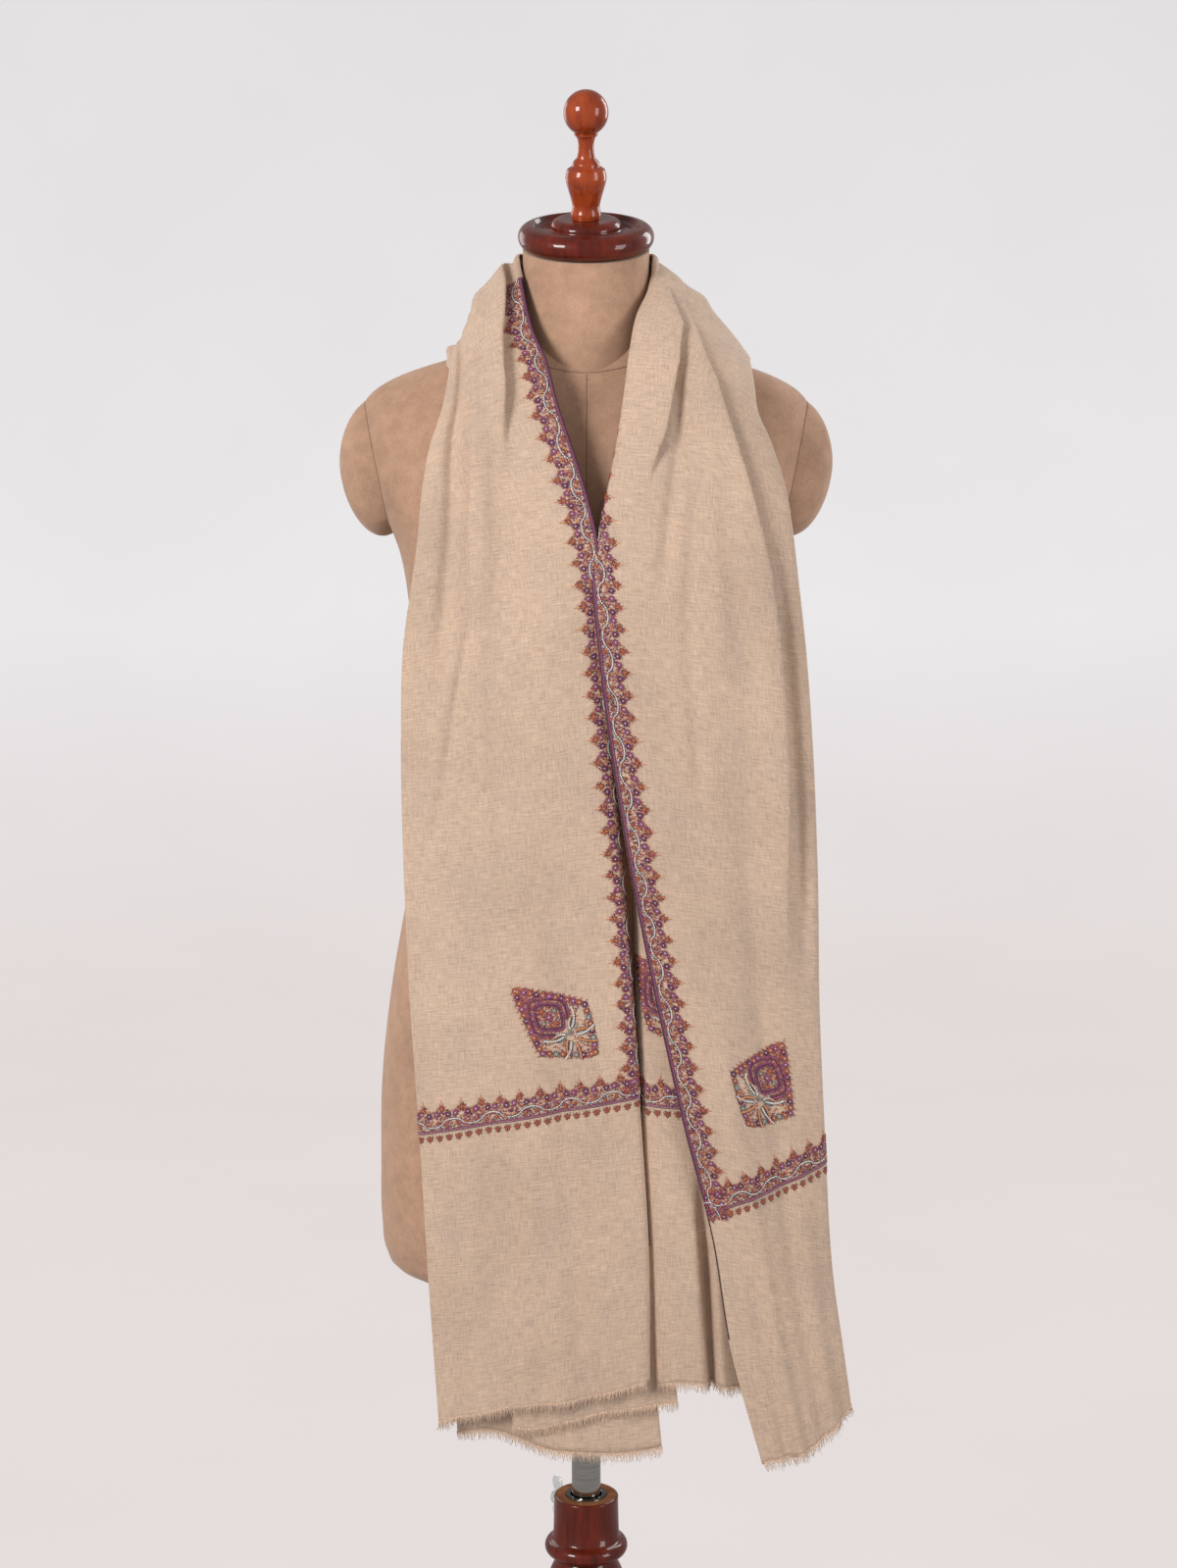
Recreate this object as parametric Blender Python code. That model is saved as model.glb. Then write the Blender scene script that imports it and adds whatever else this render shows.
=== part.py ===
"""Pashmina shawl laid round the neck of a limbless dress form on a turned wooden stand.

Metres, +Z up. The form faces -Y and the origin is the centre of the stand's underside.
The cloth is one long surface, from the left hem up over the shoulder, behind the neck and
down to the right hem. Stations across it hold its sizes, and its stretches are cut from it.
"""
import math

import bmesh
import bpy
import numpy as np
from mathutils import Matrix, Vector

GAP = 0.0003

# Stand
FOOT_RADIUS = 0.19
FOOT_EDGE = 0.018
FOOT_RISE = 0.052
COLUMN_TOP = 0.420
BORE_RADIUS = 0.0136
BORE_FLOOR = 0.075
RING_RADIUS = 0.0178
RING_DEPTH = 0.010
POLE_RADIUS = 0.0125
POLE_FOOT = 0.135
TURN_STEPS = 26

# Clamping screw, through the back left of the column
SCREW_HEIGHT = 0.404
SCREW_BEARING = math.radians(128)
SCREW_RADIUS = 0.003
SCREW_HOLE_RADIUS = 0.0036
SCREW_TIP = 0.0131
SCREW_HEAD = 0.034
WING_REACH = 0.019

# Dress form
FORM_BOTTOM = 0.626
FORM_SIDES = 32
NECK_TOP_CENTRE = Vector((0.0, -0.002, 1.4785))
CAP_TILT = math.radians(19)
NECK_SIZE = (0.0517, 0.0505, 0.0517, 2.0)
NECK_FOOT_HEIGHT = 1.385
NECK_FOOT_TILT = math.radians(22)
ARMHOLE_TOP = Vector((0.1832, 0.0, 1.3623))
ARMHOLE_BOTTOM = Vector((0.1575, 0.0, 1.2400))
ARM_CAP_HALF_DEPTH = 0.046
ARM_CAP_DOME = 0.0262
ARMHOLE_BLOCK = 0.09

# Rings of the form: half width, depth to the front, depth to the back, roundness
FORM_RINGS = (
    # z      half   front  back   power
    (0.626, 0.1500, 0.096, 0.108, 2.4),
    (0.632, 0.1620, 0.104, 0.117, 2.4),
    (0.645, 0.1700, 0.109, 0.124, 2.4),
    (0.670, 0.1735, 0.111, 0.128, 2.3),
    (0.720, 0.1740, 0.112, 0.131, 2.3),
    (0.790, 0.1725, 0.112, 0.129, 2.3),
    (0.860, 0.1650, 0.108, 0.118, 2.3),
    (0.940, 0.1510, 0.098, 0.102, 2.3),
    (1.030, 0.1310, 0.088, 0.088, 2.3),
    (1.100, 0.1350, 0.097, 0.090, 2.3),
    (1.150, 0.1430, 0.106, 0.095, 2.3),
    (1.190, 0.1490, 0.110, 0.100, 2.3),
    (1.230, 0.1570, 0.105, 0.105, 2.4),
    (1.262, 0.1680, 0.096, 0.107, 2.5),
    (1.300, 0.1770, 0.084, 0.105, 2.5),
    (1.335, 0.1830, 0.068, 0.096, 2.4),
    (1.356, 0.1815, 0.0570, 0.084, 2.1),
    (1.368, 0.1680, 0.0530, 0.077, 2.0),
    (1.380, 0.1420, 0.0490, 0.070, 1.9),
    (1.390, 0.1100, 0.0435, 0.063, 1.9),
    (1.402, 0.0740, 0.0380, 0.058, 2.0),
    (1.416, 0.0530, 0.0320, 0.0525, 2.0),
    (1.424, 0.0460, 0.0280, 0.046, 2.0),
)

# Cloth
WALL = 0.0016
SEAM_GAP = 0.0007
FRINGE = 0.008
OUTER_CURL = 0.0042
CURL_RETURN = 0.010
ACROSS = 15
STEP = 0.002
CLEAR_FRONT = 0.0072
CLEAR_CURL = 0.0036
CLEAR_REAR = 0.0034

# Stations of the front layer. The inner edge is the one by the neck and the centre front,
# the outer one is the rolled fold. Crown is how far the middle stands proud of the chord.
STATIONS = (
    # place            inner x   y       z      outer x   y       z      crown
    ("left_hem",       0.0475, -0.130, 0.5680, -0.1177, -0.106, 0.5270, 0.006),
    ("left_thigh",     0.0460, -0.131, 0.6800, -0.1255, -0.106, 0.6450, 0.007),
    ("left_band",      0.0390, -0.133, 0.7900, -0.1320, -0.106, 0.7650, 0.007),
    ("left_motif",     0.0320, -0.134, 0.8983, -0.1390, -0.105, 0.8750, 0.008),
    ("left_waist",     0.0235, -0.134, 1.0076, -0.1435, -0.102, 0.9850, 0.009),
    ("left_rib",       0.0134, -0.134, 1.1155, -0.1452, -0.099, 1.0850, 0.010),
    ("left_bust",      0.0112, -0.132, 1.1950, -0.1425, -0.098, 1.1650, 0.011),
    ("left_armpit",    0.0088, -0.128, 1.2347, -0.1365, -0.100, 1.2050, 0.010),
    ("left_chest",     0.0028, -0.120, 1.2678, -0.1310, -0.100, 1.2415, 0.009),
    ("left_breast",   -0.0071, -0.108, 1.3019, -0.1275, -0.096, 1.2800, 0.008),
    ("left_yoke",     -0.0233, -0.089, 1.3502, -0.1215, -0.088, 1.3180, 0.008),
    ("left_collar",   -0.0323, -0.070, 1.3846, -0.1135, -0.076, 1.3470, 0.010),
    ("left_throat",   -0.0440, -0.050, 1.4120, -0.1100, -0.052, 1.3720, 0.012),
    ("left_neck",     -0.0530, -0.028, 1.4470, -0.1090, -0.030, 1.3880, 0.013),
    ("left_shoulder", -0.0560, 0.0000, 1.4690, -0.1080, 0.0000, 1.3940, 0.013),
    ("left_nape",     -0.0490, 0.0290, 1.4700, -0.0980, 0.0460, 1.3840, 0.011),
    ("left_back",     -0.0290, 0.0500, 1.4690, -0.0600, 0.0880, 1.3600, 0.009),
    ("back",           0.0000, 0.0580, 1.4680, 0.0040, 0.1040, 1.3450, 0.008),
    ("right_back",     0.0290, 0.0500, 1.4690, 0.0740, 0.0880, 1.3560, 0.008),
    ("right_nape",     0.0490, 0.0290, 1.4700, 0.1200, 0.0460, 1.3780, 0.007),
    ("right_shoulder", 0.0560, 0.0000, 1.4680, 0.1317, 0.0000, 1.3920, 0.006),
    ("right_neck",     0.0530, -0.024, 1.4450, 0.1325, -0.030, 1.3850, 0.006),
    ("right_throat",   0.0437, -0.046, 1.4230, 0.1335, -0.052, 1.3690, 0.007),
    ("right_collar",   0.0372, -0.068, 1.3920, 0.1350, -0.075, 1.3460, 0.008),
    ("right_yoke",     0.0320, -0.090, 1.3540, 0.1440, -0.088, 1.3220, 0.008),
    ("right_breast",   0.0262, -0.108, 1.3150, 0.1545, -0.096, 1.2880, 0.008),
    ("right_chest",    0.0185, -0.122, 1.2720, 0.1610, -0.100, 1.2500, 0.009),
    ("right_armpit",   0.0125, -0.130, 1.2375, 0.1655, -0.100, 1.2150, 0.010),
    ("right_bust",     0.0074, -0.136, 1.1950, 0.1715, -0.099, 1.1650, 0.010),
    ("right_rib",      0.0155, -0.139, 1.1155, 0.1780, -0.100, 1.0850, 0.009),
    ("right_waist",    0.0325, -0.140, 1.0053, 0.1825, -0.103, 0.9850, 0.008),
    ("right_motif",    0.0535, -0.140, 0.8950, 0.1855, -0.106, 0.8700, 0.007),
    ("right_band",     0.0765, -0.139, 0.7900, 0.1910, -0.107, 0.7650, 0.006),
    ("right_thigh",    0.1025, -0.137, 0.6850, 0.1985, -0.107, 0.6550, 0.006),
    ("right_knee",     0.1175, -0.136, 0.5950, 0.2085, -0.106, 0.5850, 0.006),
    ("right_hem",      0.1427, -0.135, 0.5020, 0.2155, -0.106, 0.5370, 0.006),
)
NAMES = [station[0] for station in STATIONS]

# Largest folds: a rounded ridge runs from one station to another, at a share of the width
FOLDS = (
    # from             to              share  share  width  height
    ("left_motif",     "left_back",     0.62,  0.72,  0.070,  0.0050),
    ("left_rib",       "left_nape",     0.78,  0.82,  0.050, -0.0035),
    ("left_armpit",    "left_nape",     0.50,  0.30,  0.060, -0.0040),
    ("left_collar",    "right_collar",  0.45,  0.45,  0.090,  0.0035),
    ("left_nape",      "right_nape",    0.68,  0.70,  0.070, -0.0035),
    ("right_nape",     "right_rib",     0.30,  0.20,  0.060, -0.0050),
    ("right_shoulder", "right_waist",   0.60,  0.84,  0.050,  0.0045),
    ("right_throat",   "right_motif",   0.68,  0.93,  0.050, -0.0035),
)

# Layers behind the falls: the wall from its left to its right edge, with one pleat pushed back
LEFT_REAR = (
    # z left  z right  left x   right x  y left   y mid    y right
    (1.2300, 1.2500, -0.1120, -0.0120, -0.087, -0.1130, -0.1120),
    (1.1400, 1.1500, -0.1210, -0.0040, -0.084, -0.1210, -0.1200),
    (1.0000, 1.0100, -0.1240,  0.0080, -0.086, -0.1220, -0.1200),
    (0.8400, 0.8500, -0.1190,  0.0240, -0.090, -0.1220, -0.1190),
    (0.6800, 0.7000, -0.1130,  0.0430, -0.091, -0.1175, -0.1150),
    (0.5080, 0.5060, -0.1060,  0.0620, -0.091, -0.1150, -0.1130),
)
LEFT_MIDDLE = (
    # z left  z right  left x   right x  y left   y mid    y right
    (0.6700, 0.6800, -0.0600,  0.0600, -0.114, -0.1235, -0.1220),
    (0.6200, 0.6300, -0.0600,  0.0660, -0.1135, -0.1225, -0.1210),
    (0.5240, 0.5460, -0.0600,  0.0745, -0.112, -0.1205, -0.1190),
)
RIGHT_REAR = (
    # z left  z right  left x   right x  y left   y mid    y right
    (1.1600, 1.1400,  0.0420,  0.1530, -0.121, -0.1230, -0.084),
    (1.0600, 1.0400,  0.0380,  0.1600, -0.124, -0.1250, -0.086),
    (0.9200, 0.9100,  0.0380,  0.1650, -0.127, -0.1270, -0.088),
    (0.7800, 0.7700,  0.0430,  0.1710, -0.128, -0.1280, -0.089),
    (0.6700, 0.6650,  0.0495,  0.1790, -0.127, -0.1270, -0.089),
    (0.5620, 0.5640,  0.0545,  0.1880, -0.126, -0.1250, -0.088),
)
PLEAT_SHARE = 0.36
PLEAT_WIDTH = 0.035
PLEAT_DEPTH = 0.017
PLEAT_TOP = 0.76
PLEAT_FULL = 0.64
REAR_ACROSS = 15
REAR_ALONG = 12

COLOURS = {
    "cloth": ((0.64, 0.48, 0.34), 0.85, 0.0),
    "fringe": ((0.60, 0.44, 0.31), 0.90, 0.0),
    "suede": ((0.45, 0.31, 0.22), 0.95, 0.0),
    "mahogany": ((0.10, 0.014, 0.008), 0.15, 0.0),
    "raw wood": ((0.28, 0.13, 0.06), 0.50, 0.0),
    "nickel": ((0.62, 0.60, 0.57), 0.30, 1.0),
    "clear plastic": ((0.80, 0.82, 0.82), 0.12, 0.0),
}


def clear_scene():
    for obj in list(bpy.data.objects):
        bpy.data.objects.remove(obj)


def material(name):
    """The named material, made once."""
    found = bpy.data.materials.get(name)
    if found:
        return found
    colour, roughness, metallic = COLOURS[name]
    made = bpy.data.materials.new(name)
    made.use_nodes = True
    shader = made.node_tree.nodes["Principled BSDF"]
    shader.inputs["Base Color"].default_value = (*colour, 1.0)
    shader.inputs["Roughness"].default_value = roughness
    shader.inputs["Metallic"].default_value = metallic
    return made


def finish(mesh_maker, name, finish_name, smooth_angle=40):
    """Turns a bmesh into a shaded object of the scene."""
    mesh = bpy.data.meshes.new(name)
    mesh_maker.to_mesh(mesh)
    mesh_maker.free()
    mesh.materials.append(material(finish_name))
    mesh.shade_smooth()
    mesh.set_sharp_from_angle(angle=math.radians(smooth_angle))
    obj = bpy.data.objects.new(name, mesh)
    bpy.context.scene.collection.objects.link(obj)
    return obj


def smooth_rows(places, rows, wanted):
    """Cubic Hermite curve through the rows, read at the wanted places."""
    places = np.asarray(places, float)
    rows = np.asarray(rows, float)
    slopes = np.gradient(rows, places, axis=0)
    wanted = np.clip(np.asarray(wanted, float), places[0], places[-1])
    index = np.clip(np.searchsorted(places, wanted, side="right") - 1, 0, len(places) - 2)
    step = places[index + 1] - places[index]
    t = ((wanted - places[index]) / step)[:, None]
    step = step[:, None]
    value = (2 * t**3 - 3 * t**2 + 1) * rows[index] + (3 * t**2 - 2 * t**3) * rows[index + 1]
    value += (t**3 - 2 * t**2 + t) * step * slopes[index] + (t**3 - t**2) * step * slopes[index + 1]
    return value


def smooth_step(value):
    value = np.clip(value, 0.0, 1.0)
    return value * value * (3.0 - 2.0 * value)


# ---------------------------------------------------------------- dress form


def form_size(heights):
    """Half width, front depth, back depth and power of the form at these heights."""
    table = np.array(FORM_RINGS)
    return np.stack([np.interp(heights, table[:, 0], table[:, k]) for k in range(1, 5)], axis=1)


def form_level(points):
    """Below 1 inside the form, above 1 outside it."""
    neck = np.tile(NECK_SIZE, (len(points), 1))
    neck_level = level_in(points, neck)
    low = points[:, 2] < NECK_FOOT_HEIGHT
    return np.minimum(level_in(points, form_size(points[:, 2])), np.where(low, 9.0, neck_level))


def level_in(points, sizes):
    half, front, back, power = sizes.T
    depth = np.where(points[:, 1] < 0, front, back)
    across = (np.abs(points[:, 0]) / half) ** power
    along = (np.abs(points[:, 1]) / depth) ** power
    return (across + along) ** (1 / power)


def keep_clear(points, clearance):
    """Moves points that are nearer to the form than the clearance straight away from it."""
    shape = points.shape
    points = points.reshape(-1, 3).copy()
    nudge = 0.002
    for _ in range(8):
        level = form_level(points)
        slope = np.stack(
            [(form_level(points + nudge * axis) - form_level(points - nudge * axis)) / (2 * nudge)
             for axis in np.eye(3)], axis=1)
        size = np.linalg.norm(slope, axis=1)
        distance = (level - 1) / size
        push = np.clip(clearance - distance, 0, 0.004)
        points += slope / size[:, None] * push[:, None]
    return points.reshape(shape)


def form_ring(row):
    z, half, front, back, power = row
    ring = []
    for k in range(FORM_SIDES):
        angle = 2 * math.pi * k / FORM_SIDES
        c = math.cos(angle)
        s = math.sin(angle)
        x = half * math.copysign(abs(c) ** (2 / power), c)
        y = (back if s > 0 else front) * math.copysign(abs(s) ** (2 / power), s)
        ring.append(Vector((x, y, z)))
    return ring


def loft(rings):
    """A closed body through rings of equally many points."""
    bm = bmesh.new()
    loop = [bm.verts.new(point) for point in rings[0]]
    edges = [bm.edges.new((a, b)) for a, b in zip(loop, loop[1:] + loop[:1])]
    ends = [list(edges)]
    for ring in rings[1:]:
        made = bmesh.ops.extrude_edge_only(bm, edges=edges)["geom"]
        edges = [item for item in made if isinstance(item, bmesh.types.BMEdge)]
        moved = {}
        for face in [item for item in made if isinstance(item, bmesh.types.BMFace)]:
            new = [vert for vert in face.verts if vert not in loop]
            for vert in new:
                old = next(edge.other_vert(vert) for edge in vert.link_edges
                           if edge.other_vert(vert) in loop)
                moved[vert] = loop.index(old)
        loop = sorted(moved, key=moved.get)
        edges = [edge for edge in edges if edge.verts[0] in moved and edge.verts[1] in moved]
        for vert, point in zip(loop, ring):
            vert.co = point
    ends.append(edges)
    for end in ends:
        bmesh.ops.edgeloop_fill(bm, edges=end)
    bmesh.ops.recalc_face_normals(bm, faces=bm.faces[:])
    return bm


def cut_away(bm, point, normal):
    """Removes what lies on the normal's side of a plane and closes the cut."""
    geometry = bm.verts[:] + bm.edges[:] + bm.faces[:]
    cut = bmesh.ops.bisect_plane(
        bm, geom=geometry, dist=1e-6, plane_co=point, plane_no=normal, clear_outer=True)
    rim = [item for item in cut["geom_cut"] if isinstance(item, bmesh.types.BMEdge)]
    bmesh.ops.edgeloop_fill(bm, edges=rim)
    bmesh.ops.recalc_face_normals(bm, faces=bm.faces[:])


def neck_body(growth, top_centre):
    """The neck's column, from its slanted foot inside the form up to a slanted top."""
    half, front, back, power = NECK_SIZE
    size = (half + growth, front + growth, back + growth, power)
    bm = loft([form_ring((z, *size)) for z in (NECK_FOOT_HEIGHT - 0.05, NECK_FOOT_HEIGHT + 0.2)])
    foot_up = Matrix.Rotation(NECK_FOOT_TILT, 3, "X") @ Vector((0, 0, 1))
    top_up = Matrix.Rotation(CAP_TILT, 3, "X") @ Vector((0, 0, 1))
    cut_away(bm, Vector((0, 0, NECK_FOOT_HEIGHT - growth)), -foot_up)
    cut_away(bm, top_centre, top_up)
    return bm


def cut_with(body, maker, name):
    """Takes a closed shape out of a body."""
    cutter = finish(maker, name, "suede")
    cutter.hide_render = True
    cutter.display_type = "WIRE"
    hole = body.modifiers.new(name, "BOOLEAN")
    hole.operation = "DIFFERENCE"
    hole.object = cutter


def armhole_plane(side):
    """A point on the armhole's plane and its direction away from the body."""
    down = (ARMHOLE_BOTTOM - ARMHOLE_TOP).normalized()
    outward = Vector((-down.z, 0.0, down.x))
    point = (ARMHOLE_TOP + ARMHOLE_BOTTOM) / 2
    return Vector((side * point.x, 0, point.z)), Vector((side * outward.x, 0, outward.z))


def make_form():
    body = finish(loft([form_ring(row) for row in FORM_RINGS]), "form_torso", "suede")
    cut_with(body, neck_body(GAP, NECK_TOP_CENTRE + Vector((0, 0, 0.05))), "neck_socket")
    for side in (-1, 1):
        cut_armhole(body, side)
    finish(neck_body(0.0, NECK_TOP_CENTRE), "form_neck", "suede")
    for side, name in ((-1, "arm_cap_left"), (1, "arm_cap_right")):
        make_arm_cap(side, name)


def cut_armhole(body, side):
    """Cuts the flat oval that an arm cap closes."""
    point, outward = armhole_plane(side)
    turn = outward.to_track_quat("X", "Y").to_matrix().to_4x4()
    bm = bmesh.new()
    bmesh.ops.create_cube(bm, size=1.0)
    size = Vector((ARMHOLE_BLOCK, 2 * ARMHOLE_BLOCK, (ARMHOLE_TOP - ARMHOLE_BOTTOM).length))
    bmesh.ops.scale(bm, vec=size, verts=bm.verts[:])
    shift = point + outward * ARMHOLE_BLOCK / 2
    bmesh.ops.transform(bm, matrix=Matrix.Translation(shift) @ turn, verts=bm.verts[:])
    cut_with(body, bm, f"armhole_{'left' if side < 0 else 'right'}")


def make_arm_cap(side, name):
    """A domed oval pad that closes one armhole."""
    point, outward = armhole_plane(side)
    half_height = (ARMHOLE_TOP - ARMHOLE_BOTTOM).length / 2
    up = outward.cross(Vector((0, 1, 0)))
    up = up if up.z > 0 else -up
    base = point + outward * GAP
    rings = []
    for share in (0.0, 0.25, 0.5, 0.72, 0.88, 0.97):
        size = (1 - share**2.6) ** (1 / 2.6)
        centre = base + outward * ARM_CAP_DOME * share
        ring = []
        for k in range(28):
            angle = 2 * math.pi * k / 28
            ring.append(centre + Vector((0, 1, 0)) * ARM_CAP_HALF_DEPTH * size * math.cos(angle)
                        + up * half_height * size * math.sin(angle))
        rings.append(ring)
    finish(loft(rings), name, "suede", 50)


# ---------------------------------------------------------------- turned pieces


def turned(profile, closed=False, steps=TURN_STEPS):
    """Spins a profile of (radius, height) about Z. A closed one leaves a bore."""
    bm = bmesh.new()
    verts = [bm.verts.new((radius, 0, height)) for radius, height in profile]
    pairs = list(zip(verts, verts[1:]))
    if closed:
        pairs.append((verts[-1], verts[0]))
    edges = [bm.edges.new(pair) for pair in pairs]
    bmesh.ops.spin(bm, geom=verts + edges, cent=(0, 0, 0), axis=(0, 0, 1), angle=2 * math.pi,
                   steps=steps, use_merge=True)
    bmesh.ops.remove_doubles(bm, verts=bm.verts[:], dist=1e-6)
    bmesh.ops.recalc_face_normals(bm, faces=bm.faces[:])
    return bm


def arc(centre, radius, start, end, count):
    """Points of (radius, height) on a round moulding, angles in degrees from +radius."""
    points = []
    for k in range(count + 1):
        angle = math.radians(start + (end - start) * k / count)
        points.append((centre[0] + radius * math.cos(angle), centre[1] + radius * math.sin(angle)))
    return points


def make_neck_cap():
    """The turned wooden plate on the neck: a round rim, a dished ring and a raised middle."""
    profile = [(0, 0.0003), (0.0455, 0.0003)]
    profile += arc((0.0455, 0.0103), 0.0100, -80, 95, 8)
    profile += [(0.0412, 0.0165), (0.0350, 0.0158), (0.0292, 0.0172)]
    profile += [(0.0284, 0.0205), (0.0262, 0.0235), (0.0160, 0.0246), (0, 0.0246)]
    cap = finish(turned(profile), "neck_cap", "mahogany")
    ball_centre = 0.0842
    profile = [(0, 0.0249), (0.0118, 0.0249), (0.0124, 0.0290), (0.0112, 0.0330)]
    profile += [(0.0126, 0.0420), (0.0152, 0.0510), (0.0167, 0.0585), (0.0152, 0.0645)]
    profile += [(0.0112, 0.0670), (0.0108, 0.0695), (0.0078, 0.0735), (0.0065, 0.0790)]
    profile += [(0.0066, 0.0860), (0.0075, 0.0900), (0.0090, 0.0915), (0.0088, 0.0930)]
    profile += arc((0, 0.0249 + ball_centre), 0.018, -64, 90, 9)[:-1]
    profile.append((0, 0.0249 + ball_centre + 0.018))
    ball = finish(turned(profile, steps=20), "finial", "mahogany")
    for obj in (cap, ball):
        obj.location = NECK_TOP_CENTRE
        obj.rotation_euler = (CAP_TILT, 0, 0)


def make_stand():
    foot = [(0, 0), (FOOT_RADIUS - 0.004, 0), (FOOT_RADIUS, 0.004), (FOOT_RADIUS, FOOT_EDGE)]
    foot += arc((FOOT_RADIUS - 0.008, FOOT_EDGE), 0.008, 20, 80, 3)
    foot += [(0.120, 0.034), (0.070, 0.042), (0.046, 0.049), (0.044, FOOT_RISE), (0, FOOT_RISE)]
    finish(turned(foot, steps=36), "stand_foot", "mahogany")

    seat = COLUMN_TOP - RING_DEPTH
    outer = [(0.0385, FOOT_RISE + GAP), (0.0385, 0.060)]
    outer += [(0.0330, 0.070), (0.0250, 0.085), (0.0215, 0.110), (0.0225, 0.150)]
    outer += [(0.0270, 0.200), (0.0330, 0.250), (0.0368, 0.290), (0.0372, 0.315)]
    outer += [(0.0350, 0.340), (0.0300, 0.3545), (0.0245, 0.3645), (0.0255, 0.3665)]
    outer += arc((0.0285, 0.3745), 0.0073, -75, 75, 6)
    outer += [(0.0284, 0.3838), (0.0276, 0.4170), (0.0262, COLUMN_TOP)]
    bore = [(RING_RADIUS + GAP, COLUMN_TOP), (RING_RADIUS + GAP, seat - GAP)]
    bore += [(BORE_RADIUS, seat - GAP), (BORE_RADIUS, BORE_FLOOR)]
    floor = [(0, BORE_FLOOR), (0, FOOT_RISE + GAP)]
    column = finish(turned(outer + bore + floor, closed=True), "stand_column", "mahogany")
    cut_screw_hole(column)

    ring = [(BORE_RADIUS, COLUMN_TOP - RING_DEPTH), (RING_RADIUS, COLUMN_TOP - RING_DEPTH)]
    ring += [(RING_RADIUS, COLUMN_TOP + 0.0004), (RING_RADIUS - 0.0006, COLUMN_TOP + 0.001)]
    ring += [(BORE_RADIUS + 0.0006, COLUMN_TOP + 0.001), (BORE_RADIUS, COLUMN_TOP + 0.0004)]
    ring_piece = finish(turned(ring, closed=True), "pole_ring", "nickel")
    cut_screw_hole(ring_piece)

    pole_top = FORM_BOTTOM - GAP
    pole = [(0, POLE_FOOT), (POLE_RADIUS - 0.001, POLE_FOOT), (POLE_RADIUS, POLE_FOOT + 0.001)]
    pole += [(POLE_RADIUS, pole_top), (0, pole_top)]
    finish(turned(pole), "pole", "nickel")


def screw_placing():
    """Turns +Z to point out of the column along the screw."""
    turn = Matrix.Rotation(SCREW_BEARING, 4, "Z") @ Matrix.Rotation(math.pi / 2, 4, "Y")
    return Matrix.Translation((0, 0, SCREW_HEIGHT)) @ turn


def cut_screw_hole(obj):
    bm = bmesh.new()
    length = 0.06
    place = screw_placing() @ Matrix.Translation((0, 0, length / 2 + 0.004))
    bmesh.ops.create_cone(bm, cap_ends=True, segments=16, radius1=SCREW_HOLE_RADIUS,
                          radius2=SCREW_HOLE_RADIUS, depth=length, matrix=place)
    cut_with(obj, bm, obj.name + "_screw_hole")


def make_wing_screw():
    """A screw whose head is a flat two-winged grip."""
    profile = [(0, SCREW_TIP), (SCREW_RADIUS, SCREW_TIP), (SCREW_RADIUS, SCREW_HEAD)]
    profile += [(0.0062, SCREW_HEAD), (0.0070, SCREW_HEAD + 0.002), (0.0062, SCREW_HEAD + 0.010)]
    profile += [(0, SCREW_HEAD + 0.011)]
    screw = finish(turned(profile, steps=20), "wing_screw", "clear plastic")
    bm = bmesh.new()
    outline = []
    for k in range(32):
        angle = 2 * math.pi * k / 32
        reach = WING_REACH * (0.30 + 0.70 * math.cos(angle) ** 2)
        outline.append(bm.verts.new((reach * math.cos(angle), -0.0016,
                                     SCREW_HEAD + 0.0068 + 0.45 * reach * math.sin(angle)
                                     + 0.0016 * math.cos(2 * angle))))
    face = bm.faces.new(outline)
    side = bmesh.ops.extrude_face_region(bm, geom=[face])["geom"]
    moved = [item for item in side if isinstance(item, bmesh.types.BMVert)]
    bmesh.ops.translate(bm, verts=moved, vec=(0, 0.0032, 0))
    bmesh.ops.recalc_face_normals(bm, faces=bm.faces[:])
    wings = finish(bm, "wing_screw_wings", "clear plastic")
    wings.hide_render = True
    wings.display_type = "WIRE"
    join = screw.modifiers.new("wings", "BOOLEAN")
    join.operation = "UNION"
    join.object = wings
    for obj in (screw, wings):
        obj.matrix_world = screw_placing()


# ---------------------------------------------------------------- cloth


def station_places():
    """Distance along the shawl's middle at each station."""
    table = np.array([station[1:] for station in STATIONS])
    middle = (table[:, 0:3] + table[:, 3:6]) / 2
    steps = np.linalg.norm(np.diff(middle, axis=0), axis=1)
    return np.concatenate([[0.0], np.cumsum(steps)])


PLACES = station_places()


def place(name):
    return PLACES[NAMES.index(name)]


def fold_height(along, across):
    """How far the folds lift each point off the section."""
    height = np.zeros_like(across)
    for start, end, share_start, share_end, width, size in FOLDS:
        first = place(start)
        last = place(end)
        t = (along - first) / (last - first)
        middle = share_start + (share_end - share_start) * t
        strength = smooth_step(t / 0.25) * smooth_step((1 - t) / 0.25)
        height += size * strength * np.exp(-((across - middle) / width) ** 2)
    return height


def unit(vectors):
    return vectors / np.linalg.norm(vectors, axis=-1, keepdims=True)


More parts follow.
